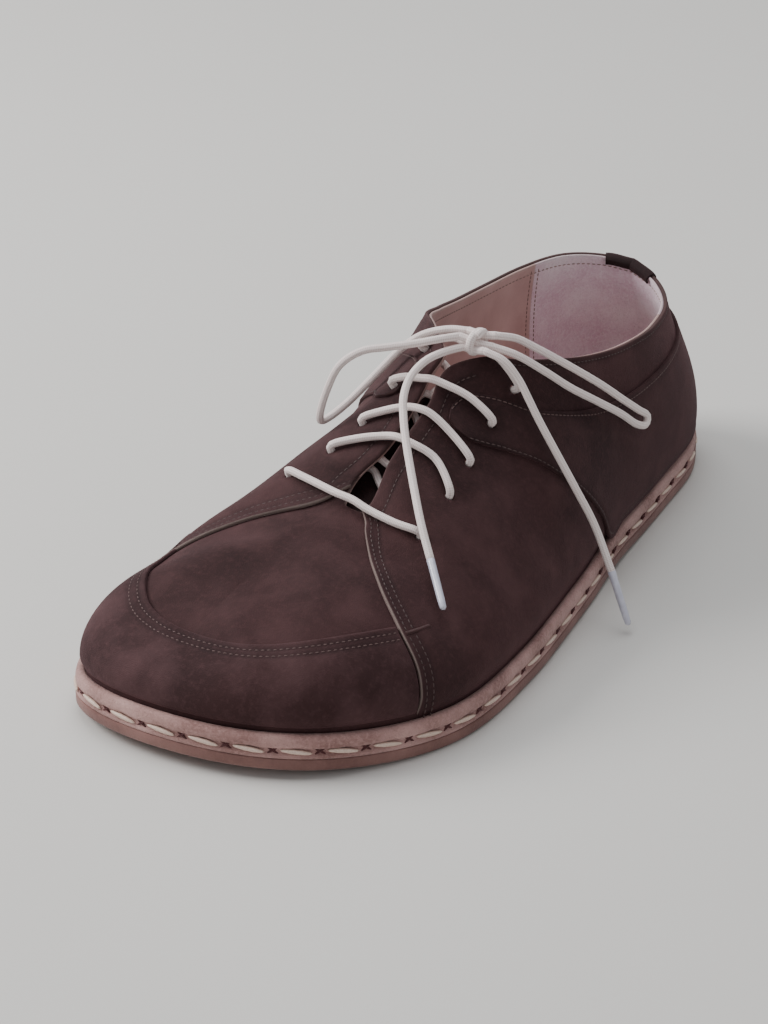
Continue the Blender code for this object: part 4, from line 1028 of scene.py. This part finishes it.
COUNTER_END = COUNTER[-1][0]
s_guard = np.linspace(-0.985, 0.985, 320)
s_counter = np.linspace(-COUNTER_END + 0.012, COUNTER_END - 0.012, 420)
facing_v = np.linspace(0.532, 0.695, 90)
collar_s = np.linspace(-0.505, 0.505, 300)
SEAMS = {
    "guard": [guard_place(s_guard, np.full(320, 0.935)), guard_place(s_guard, np.full(320, 0.865))],
    "quarters": [
        quarter_line(1, 0.0055, 0.0, 0.99), quarter_line(1, 0.0125, 0.0, 0.93),
        quarter_line(-1, 0.0055, 0.0, 0.99), quarter_line(-1, 0.0125, 0.0, 0.93),
        (1 - facing_v, np.full(90, 0.935)), (facing_v - 1, np.full(90, 0.935)),
        (wrap(np.where(collar_s >= 0, 1.0, -1.0) * (1 - np.abs(collar_s))), np.full(300, 0.972)),
    ],
    "counter": [counter_place(s_counter, np.full(420, 0.045)), counter_place(s_counter, np.full(420, 0.955))],
}
for panel, lines in SEAMS.items():
    for w, u in lines:
        print("seam on", panel, "in mm:", round(line_length(skin(w, u))))


def seam_tree(panel):
    """Search tree over the seam points of a panel."""
    points = np.concatenate([skin(w, u) for w, u in SEAMS.get(panel, [])]) if SEAMS.get(panel) else np.zeros((0, 3))
    tree = KDTree(max(len(points), 1))
    for index, point in enumerate(points):
        tree.insert(point, index)
    tree.balance()
    return tree, len(points)


# %% [markdown]
# A panel is one sheet of leather, so it is made as one: a grid of places, an outer face and an
# inner face at their heights over the skin, and a wall round every free edge. The outermost grid
# line sits a quarter of a millimetre lower than the rest, which rounds the edge as a knife and
# sanding do. Places near an edge are closer together, so the rounding stays narrow.

# %% Panels of leather


def eased(count, tight=0.004):
    """Shares from 0 to 1 with one close step at each end."""
    return np.concatenate([[0, tight], np.linspace(0, 1, count)[1:-1], [1 - tight, 1]])


def panel(name, w, u, outer, inner, material, seams=None, raw=(1, 1, 1, 1), open_top=None, smooth_ridge=False):
    """Sheet between two heights. raw marks how pale the edges at low u, high u, first and last column are."""
    w, u, outer, inner = (np.array(a, float) for a in np.broadcast_arrays(w, u, outer, inner))
    rows, columns = w.shape
    open_top = np.ones(columns, bool) if open_top is None else open_top
    tree, known = seam_tree(seams)
    base = skin(w, u)
    seam = np.zeros(w.shape)
    if known:
        for r in range(rows):
            for c in range(columns):
                seam[r, c] = np.exp(-(tree.find(base[r, c])[2] / 0.85) ** 2)
    edge = np.zeros(w.shape)
    edge[0] = raw[0]
    edge[-1, open_top] = raw[1]
    edge[:, 0] = np.maximum(edge[:, 0], raw[2])
    edge[:, -1] = np.maximum(edge[:, -1], raw[3])
    bevel = np.zeros(w.shape)
    bevel[0] = bevel[:, 0] = bevel[:, -1] = 0.25
    bevel[-1, open_top] = 0.25
    high = over(w, u, outer - 0.30 * seam - bevel)
    low = over(w, u, inner + 0.3 * bevel)
    count = rows * columns
    faces = []
    for r in range(rows - 1):
        for c in range(columns - 1):
            a = r * columns + c
            faces.append((a, a + 1, a + columns + 1, a + columns))
            faces.append((count + a, count + a + columns, count + a + columns + 1, count + a + 1))
    rim = [(c, c + 1) for c in range(columns - 1)]
    rim += [((rows - 1) * columns + c + 1, (rows - 1) * columns + c) for c in range(columns - 1)
            if open_top[c] or open_top[c + 1]]
    rim += [((r + 1) * columns, r * columns) for r in range(rows - 1)]
    rim += [(r * columns + columns - 1, (r + 1) * columns + columns - 1) for r in range(rows - 1)]
    faces += [(b, a, count + a, count + b) for a, b in rim]
    points = np.concatenate([high.reshape(-1, 3), low.reshape(-1, 3)])
    mesh = bpy.data.meshes.new(name)
    mesh.from_pydata([tuple(p) for p in in_metres(points)], [], faces)
    # The seam attribute carries the darkening beside seams in the finishes: pressed nap and painted shade in the dip.
    for label, values in (("raw_edge", edge), ("seam", seam)):
        mesh.attributes.new(label, "FLOAT", "POINT").data.foreach_set("value", np.tile(values.ravel(), 2))
    work = bmesh.new()
    work.from_mesh(mesh)
    if smooth_ridge:
        near = (u > 0.86) & (np.abs(w) < 1 - THROAT_END - 0.008)
        picked = np.tile(near.ravel(), 2)
        work.verts.ensure_lookup_table()
        chosen = [work.verts[i] for i in np.nonzero(picked)[0]]
        marks = set(v.index for v in chosen)
        bmesh.ops.remove_doubles(work, verts=work.verts, dist=0.02 * MM)
        chosen = [v for v in chosen if v.is_valid]
        for _ in range(14):
            bmesh.ops.smooth_vert(work, verts=chosen, factor=0.5, use_axis_x=True, use_axis_y=True, use_axis_z=True)
        print("ridge points smoothed on", name, len(marks))
    bmesh.ops.recalc_face_normals(work, faces=work.faces)
    work.to_mesh(mesh)
    work.free()
    made = show(name, mesh, material)
    print(name, "faces:", len(mesh.polygons))
    return made


def foot_fade(u, low, high):
    """Height that grows from low at the foot to high just above the strip."""
    return low + (high - low) * np.clip(u / 0.11, 0, 1)


# %% [markdown]
# The vamp is the front panel: it runs under the quarters on both sides and closes over the toes
# on a ridge that isn't sewn. The grid is folded along that ridge and welded there, and the
# points beside it are smoothed, because a tight fold would show as a line on the real leather.

# %% Vamp
vamp_u = np.concatenate([[-0.5, -0.2], eased(58, 0.006)])
share = np.linspace(-1, 1, 301)
vamp_w = np.empty((len(vamp_u), len(share)))
for row, u in enumerate(np.clip(vamp_u, 0, 1)):
    outer_end = 1 - (read(QUARTER_EDGE, u, "outer_v") - 0.012)
    inner_end = 1 - (read(QUARTER_EDGE, u, "inner_v") - 0.012)
    vamp_w[row] = np.where(share >= 0, share * outer_end, share * inner_end)
vamp_open = np.abs(vamp_w[-1]) > 1 - THROAT_END + 0.002
vamp = panel("vamp", vamp_w, vamp_u[:, None], 0.0, -0.9, NUBUCK,
             raw=(0, 0.5, 0, 0), open_top=vamp_open, smooth_ridge=True)
ride_for(vamp, "nubuck_upper", "upper")

# %% Quarters, both sides in one sheet round the heel
quarter_u = np.concatenate([[-0.5, -0.2], eased(62, 0.006)])
back_share = eased(420, 0.0009) * 2 - 1
quarter_w = np.empty((len(quarter_u), len(back_share)))
for row, u in enumerate(np.clip(quarter_u, 0, 1)):
    outer_end = read(QUARTER_EDGE, u, "outer_v")
    inner_end = read(QUARTER_EDGE, u, "inner_v")
    s = np.where(back_share >= 0, back_share * outer_end, back_share * inner_end)
    quarter_w[row] = wrap(np.where(s >= 0, 1.0, -1.0) * (1 - np.abs(s)))
quarters = panel("quarters", quarter_w, quarter_u[:, None], foot_fade(quarter_u, 0.05, 1.5)[:, None],
                 foot_fade(quarter_u, -0.9, 0.12)[:, None], NUBUCK, "quarters", raw=(0, 0.10, 0.75, 0.75))
ride_for(quarters, "nubuck_upper", "upper")

# %% [markdown]
# The toe guard is a low panel sewn over the vamp with two rows of fine stitches just below its
# edge. The heel counter is a second panel round the heel, and on each side it runs forward as a
# tapered wing with a rounded end, through which the fourth lace hole is punched.

# %% Toe guard and heel counter
guard_s, guard_t = np.meshgrid(eased(260, 0.0012) * 2 - 1, eased(34, 0.009))
guard_w, guard_u = guard_place(guard_s, guard_t)
guard = panel("toe_guard_panel", guard_w, guard_u, 1.25 * np.clip(guard_t * 8 + 0.35, 0, 1), 0.08, NUBUCK_GUARD,
              "guard", raw=(0, 0.12, 0, 0))
ride_for(guard, "nubuck_guard", "toe_guard")

counter_s, counter_t = np.meshgrid((eased(300, 0.001) * 2 - 1) * COUNTER_END, eased(34, 0.008))
counter_w, counter_u = counter_place(counter_s, counter_t)
counter = panel("heel_counter_panel", counter_w, counter_u, 2.75, 1.6, NUBUCK_COUNTER, "counter",
                raw=(0.5, 0.35, 0.6, 0.6))
ride_for(counter, "nubuck_counter", "heel_counter")

# %% [markdown]
# Inside, the front of the shoe is lined with smooth tan leather and the heel with suede whose
# nap grips the sock. The two meet in an upright seam on each side, a quarter of the way along.
# Both linings end a little above the nubuck, and their cut edge is the pale line at the collar.

# %% Linings
LINING_SEAM = 0.225


def lining(name, s, closed_ridge, material):
    """Lining between two places along the outline, on the inner face of the leather."""
    u = np.concatenate([[-0.9, -0.4], eased(44, 0.008)])
    w = np.broadcast_to(wrap(s), (len(u), len(s)))
    v = 1 - np.abs(w)
    in_front = np.clip((v - 0.66) / 0.05, 0, 1)
    inside = -0.9 - 0.9 * np.maximum(in_front, 1 - np.clip(u / 0.11, 0, 1)[:, None])
    proud = 0.35 * np.clip((u - 0.97) / 0.03, 0, 1)[:, None] * (1 - in_front)
    top_open = np.abs(w[-1]) > 1 - THROAT_END + 0.002 if closed_ridge else None
    return panel(name, w, u[:, None], inside + 0.92 + proud * 0.2, inside, material, None, raw=(0, 0.6, 0, 0),
                 open_top=top_open, smooth_ridge=closed_ridge)


front_lining = lining("lining_front", (eased(300, 0.001) * 2 - 1) * (1 - LINING_SEAM), True, TAN_LINING)
heel_s = (eased(120, 0.004) * 2 - 1) * LINING_SEAM
heel_lining = lining("lining_heel", np.where(heel_s >= 0, 1.0, -1.0) * (1 - np.abs(heel_s)), False, SUEDE_LINING_PAINTED_LIGHT)
ride_for(front_lining, "insole_leather", "upper")
ride_for(heel_lining, "insole_leather", "upper")

# %% [markdown]
# The ten lace holes are punched through leather and lining, without metal eyelets. One cutter of
# ten short rods is taken out of each panel with a Boolean, which is then applied, so the hole has
# its wall. The rods stand square to the skin.

# %% Punch the lace holes
HOLE_DIAMETER = 3.3
rods = bmesh.new()
for number in range(1, 6):
    for side in (1, -1):
        w, u = (np.array(float(value)) for value in hole_place(number, side))
        turned = Vector(skin_normal(w, u)).to_track_quat("Z", "Y").to_matrix().to_4x4()
        turned.translation = Vector(in_metres(skin(w, u)))
        bmesh.ops.create_cone(rods, cap_ends=True, segments=20, radius1=HOLE_DIAMETER / 2 * MM,
                              radius2=HOLE_DIAMETER / 2 * MM, depth=12 * MM, matrix=turned)
rod_mesh = bpy.data.meshes.new("hole_punch")
rods.to_mesh(rod_mesh)
rods.free()
punch = bpy.data.objects.new("hole_punch", rod_mesh)
bpy.context.scene.collection.objects.link(punch)
for piece in (quarters, counter, front_lining):
    cut = piece.modifiers.new("lace_holes", "BOOLEAN")
    cut.operation = "DIFFERENCE"
    cut.solver = "EXACT"
    cut.object = punch
    before = len(piece.data.polygons)
    punched = bpy.data.meshes.new_from_object(piece.evaluated_get(bpy.context.evaluated_depsgraph_get()))
    piece.modifiers.remove(cut)
    piece.data = punched
    punched.name = piece.name
    print("punched", piece.name, "faces", before, "to", len(punched.polygons))
bpy.data.objects.remove(punch)

# %% [markdown]
# The tongue is a simple soft form, so it starts from the imported solid: a copy is merged, its triangles are joined
# to quads, and a Subdivision Surface rounds its edges. The heel tab is a folded strip made from a profile across the
# collar's back, then thickened and bevelled. The footbed keeps its own solid and only gets its leather.

# %% Tongue, heel tab and footbed


def softened_copy(node, name, material, levels):
    """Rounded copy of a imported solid."""
    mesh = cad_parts[node].data.copy()
    mesh.name = name
    work = bmesh.new()
    work.from_mesh(mesh)
    bmesh.ops.remove_doubles(work, verts=work.verts, dist=0.01 * MM)
    bmesh.ops.join_triangles(work, faces=work.faces, angle_face_threshold=0.6, angle_shape_threshold=1.2)
    bmesh.ops.recalc_face_normals(work, faces=work.faces)
    work.to_mesh(mesh)
    work.free()
    piece = show(name, mesh, material)
    rounding = piece.modifiers.new("rounded", "SUBSURF")
    rounding.levels = levels
    rounding.render_levels = levels
    return piece


tongue = softened_copy("tongue", "soft_tongue", NUBUCK_TONGUE_PAINTED_SHADE, 2)
ride_for(tongue, "nubuck_tongue", "tongue")
TAB_HALF = 0.066
TAB_COLUMNS = 41
TAB_ROWS = 25
tab_s = np.linspace(-TAB_HALF, TAB_HALF, TAB_COLUMNS)
tab_w = wrap(np.where(tab_s >= 0, 1.0, -1.0) * (1 - np.abs(tab_s)))
profile = ((0.86, 1.55, 0.0), (0.93, 1.6, 0.0), (1.0, 1.5, 0.0), (1.0, 1.1, 0.35), (1.0, 0.3, 0.55), (1.0, -0.7, 0.3),
           (1.0, -1.1, -0.2), (0.97, -1.15, 0.0))
columns = []
for column in range(TAB_COLUMNS):
    w = np.full(len(profile), tab_w[column])
    u, out, rise = (np.array(values) for values in zip(*profile))
    rise = rise - 0.45 * abs(tab_s[column] / TAB_HALF) ** 6
    line = skin(w, u) + out[:, None] * skin_normal(w, u) + rise[:, None] * np.array([0.0, 0.0, 1.0])
    line = smooth_line(list(line), 0.2)
    columns.append(line[np.linspace(0, len(line) - 1, TAB_ROWS).round().astype(int)])
tab_grid = np.array(columns)
tab_faces = [(a, a + 1, a + TAB_ROWS + 1, a + TAB_ROWS)
             for c in range(TAB_COLUMNS - 1) for a in range(c * TAB_ROWS, (c + 1) * TAB_ROWS - 1)]
tab_mesh = bpy.data.meshes.new("folded_heel_tab")
tab_mesh.from_pydata([tuple(p) for p in in_metres(tab_grid.reshape(-1, 3))], [], tab_faces)
tab = show("folded_heel_tab", tab_mesh, NUBUCK_TAB)
thick = tab.modifiers.new("leather", "SOLIDIFY")
thick.thickness = 0.7 * MM
thick.offset = 1.0
soften = tab.modifiers.new("cut_edge", "BEVEL")
soften.width = 0.3 * MM
soften.segments = 3
ride_for(tab, "nubuck_tab", "heel_tab")
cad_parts["insole"].data.materials.clear()
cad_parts["insole"].data.materials.append(FOOTBED)
print("carried over with a new finish: insole")

# %% [markdown]
# Stitches repeat along a path, which is what Geometry Nodes are for. The tree turns a seam's
# line into a curve, sets a point at every stitch, and stands a small spindle there, laid along the
# line and upright on the leather. Pitch, length, width, depth and slant are its inputs, so the
# same tree makes the long edge stitches and the fine rows. It ends as real mesh, because the
# export drops instances.

# %% Stitch tree
tree = bpy.data.node_groups.new("stitches_along_a_seam", "GeometryNodeTree")
tree.interface.new_socket("Seam line", in_out="INPUT", socket_type="NodeSocketGeometry")
for label, kind in (("Pitch", "Float"), ("Length", "Float"), ("Width", "Float"), ("Depth", "Float"),
                    ("Slant", "Float"), ("Thread", "Material")):
    tree.interface.new_socket(label, in_out="INPUT", socket_type="NodeSocket" + kind)
tree.interface.new_socket("Stitches", in_out="OUTPUT", socket_type="NodeSocketGeometry")
given = add(tree, "NodeGroupInput").outputs
curve = add(tree, "GeometryNodeMeshToCurve", None, {"Mesh": given["Seam line"]})
spaced = add(tree, "GeometryNodeResampleCurve", None, {"Curve": curve.outputs[0], "Length": given["Pitch"]},
             mode="LENGTH")
upright = add(tree, "GeometryNodeInputNamedAttribute", {"Name": "up"}, data_type="FLOAT_VECTOR")
tangent = add(tree, "GeometryNodeInputTangent")
stood = add(tree, "FunctionNodeAlignRotationToVector", None, {"Vector": upright.outputs[0]}, axis="Z")
laid = add(tree, "FunctionNodeAlignRotationToVector", None,
           {"Rotation": stood.outputs[0], "Vector": tangent.outputs[0]}, axis="X", pivot_axis="Z")
size = add(tree, "ShaderNodeCombineXYZ", None, {0: given["Length"], 1: given["Width"], 2: given["Depth"]})
slant = add(tree, "ShaderNodeCombineXYZ", None, {2: given["Slant"]})
spindle = add(tree, "GeometryNodeMeshUVSphere", {"Segments": 6, "Rings": 5, "Radius": 0.5})
spindle_along = add(tree, "GeometryNodeTransform", {"Rotation": (0.0, np.pi / 2, 0.0)},
                    {"Geometry": spindle.outputs["Mesh"]})
stitch = add(tree, "GeometryNodeTransform", None, {"Geometry": spindle_along.outputs[0], "Scale": size.outputs[0]})
slanted = add(tree, "GeometryNodeTransform", None, {"Geometry": stitch.outputs[0], "Rotation": slant.outputs[0]})
set_out = add(tree, "GeometryNodeInstanceOnPoints", None,
              {"Points": spaced.outputs[0], "Instance": slanted.outputs[0], "Rotation": laid.outputs[0]})
real = add(tree, "GeometryNodeRealizeInstances", None, {"Geometry": set_out.outputs[0]})
coloured = add(tree, "GeometryNodeSetMaterial", None, {"Geometry": real.outputs[0], "Material": given["Thread"]})
add(tree, "NodeGroupOutput", None, {"Stitches": coloured.outputs[0]})
STITCH_INPUTS = {item.name: item.identifier for item in tree.interface.items_tree if item.in_out == "INPUT"}
print("stitch tree inputs:", list(STITCH_INPUTS))


def sew(name, lines, closed, thread, slot, **sizes):
    """Stitches along lines of (points in mm, upright directions); sizes are in mm, the slant in radians."""
    points, edges, ups = [], [], []
    for line, up in lines:
        base = len(points)
        points += [tuple(p) for p in in_metres(line)]
        ups += [tuple(n) for n in up]
        edges += [(base + i, base + i + 1) for i in range(len(line) - 1)]
        if closed:
            edges.append((base + len(line) - 1, base))
    mesh = bpy.data.meshes.new(name + "_line")
    mesh.from_pydata(points, edges, [])
    mesh.attributes.new("up", "FLOAT_VECTOR", "POINT").data.foreach_set("vector", np.array(ups).ravel())
    piece = bpy.data.objects.new(name, mesh)
    bpy.context.scene.collection.objects.link(piece)
    sewing = piece.modifiers.new("stitches", "NODES")
    sewing.node_group = tree
    for label, value in sizes.items():
        sewing[STITCH_INPUTS[label]] = value if label == "Slant" else value * MM
    sewing[STITCH_INPUTS["Thread"]] = thread
    sewn = bpy.data.meshes.new_from_object(piece.evaluated_get(bpy.context.evaluated_depsgraph_get()))
    piece.modifiers.remove(sewing)
    piece.data = sewn
    sewn.name = name
    sewn.polygons.foreach_set("use_smooth", [True] * len(sewn.polygons))
    ride_for(piece, slot)
    print(name, "stitches:", len(sewn.polygons) // 30)
    return piece


# %% Edge thread
def edge_line(shift, inset, height):
    """Closed line in the strip's groove, starting at a stitch plus a shift in pitches."""
    arc = (FIRST_STITCH + (np.arange(STITCH_COUNT * PER_STITCH) / PER_STITCH + shift) * EDGE_PITCH) % EDGE_LENGTH
    w = np.interp(arc, dense_arc, dense_w)
    return inset_point(w, np.full(len(w), inset), height), outline_normal(w)


groove_line = edge_line(0.0, 0.38, GROOVE_AT)
closed_length = line_length(np.concatenate([groove_line[0], groove_line[0][:1]]))
true_pitch = closed_length / (STITCH_COUNT + 0.001)
sew("edge_thread", [groove_line], True, EDGE_THREAD, "lace_cotton", Pitch=true_pitch, Length=10.0, Width=1.55,
    Depth=1.6, Slant=-0.10)
# Dark red crossed marks sit in each gap between the long stitches, at the pinches; the stitch tree draws them as
# short crossed spindles.
for label, slant, shift in (("a", 0.62, 0.5), ("b", -0.55, 0.5)):
    pinch_line = edge_line(shift, 0.85, GROOVE_AT + 0.1)
    closed_length = line_length(np.concatenate([pinch_line[0], pinch_line[0][:1]]))
    sew("dark_pinch_mark_" + label, [pinch_line], True, DARK_PINCH_MARKS, "rand_leather",
        Pitch=closed_length / (STITCH_COUNT + 0.001), Length=4.6, Width=0.80, Depth=1.3, Slant=slant)

# %% Fine seams on the panels


def on_panel(line, height):
    """Seam line at a height over the skin, with its upright directions."""
    w, u = (np.asarray(a, float) for a in line)
    return over(w, u, height), skin_normal(w, u)


sew("guard_stitches", [on_panel(line, 1.02) for line in SEAMS["guard"]], False, PALE_THREAD, "nubuck_guard",
    Pitch=1.85, Length=1.15, Width=0.50, Depth=0.42, Slant=0.0)
quarter_rows = [on_panel(line, 1.25) for line in SEAMS["quarters"]]
sew("quarter_stitches", quarter_rows, False, SEAM_THREAD, "nubuck_upper", Pitch=1.9, Length=1.45, Width=0.46,
    Depth=0.40, Slant=0.0)
counter_low, counter_high = SEAMS["counter"]
sew("counter_low_stitches", [on_panel(counter_low, 2.50)], False, SEAM_THREAD, "nubuck_counter", Pitch=1.9,
    Length=1.45, Width=0.46, Depth=0.40, Slant=0.0)
sew("counter_top_stitches", [on_panel(counter_high, 2.50)], False, PALE_THREAD, "nubuck_counter", Pitch=1.9,
    Length=1.6, Width=0.50, Depth=0.42, Slant=0.0)

# %% Seams of the linings
upright_u = np.linspace(0.30, 0.955, 60)
lining_rows = []
for side in (1, -1):
    for v in (LINING_SEAM - 0.008, LINING_SEAM + 0.008):
        line = (np.full(60, side * (1 - v)), upright_u)
        lining_rows.append((over(*line, -0.98), -skin_normal(*line)))
rim_w = wrap(np.where(collar_s >= 0, 1.0, -1.0) * (1 - np.abs(collar_s)))
rim = (rim_w, np.full(300, 0.945))
lining_rows.append((over(*rim, -0.98), -skin_normal(*rim)))
sew("lining_stitches", lining_rows, False, LINING_THREAD, "insole_leather", Pitch=1.9, Length=1.4, Width=0.42,
    Depth=0.36, Slant=0.0)

# %% [markdown]
# Where the toe guard ends under each quarter, a short bar of dense thread takes the strain: it is
# the dark red tack beside the front edge. It is sewn with the same tree, with the stitches
# upright to their line and nearly touching.

# %% Tacks at the quarters' front edge
tack_lines = []
for side, tack_u in ((1, 0.42), (-1, 0.40)):
    edge_v = float(read(QUARTER_EDGE, tack_u, "outer_v" if side > 0 else "inner_v"))
    tack_v = np.linspace(edge_v - 0.004, edge_v - 0.030, 24)
    tack_lines.append(on_panel((side * (1 - tack_v), np.full(24, tack_u)), 1.42))
sew("strain_tacks", tack_lines, False, TACK_THREAD, "nubuck_upper", Pitch=0.42, Length=0.5, Width=1.7, Depth=0.55,
    Slant=0.15)

# %% [markdown]
# The shoe stands on a plain pale floor. The floor is no part of the shoe.
# A wide plane with a faint unevenness keeps its shadow soft and its edge out of sight.

# %% Floor
floor_mesh = bpy.data.meshes.new("studio_floor")
floor_mesh.from_pydata([(-6, -6, 0), (6, -6, 0), (6, 6, 0), (-6, 6, 0)], [], [(0, 1, 2, 3)])
paper, paper_tree, paper_shader, paper_place = new_material("pale_studio_paper")
mottle = add(paper_tree, "ShaderNodeTexNoise", {"Scale": 3.0, "Detail": 3.0}, {"Vector": paper_place})
tone = add(paper_tree, "ShaderNodeMix", {6: srgb("#d3d1cd"), 7: srgb("#dbd9d6")}, {0: mottle.outputs[0]},
           data_type="RGBA")
paper_tree.links.new(tone.outputs[2], paper_shader.inputs["Base Color"])
paper_shader.inputs["Roughness"].default_value = 0.9
paper_shader.inputs["Specular IOR Level"].default_value = 0.2
floor = show("studio_floor", floor_mesh, paper, smooth=False)
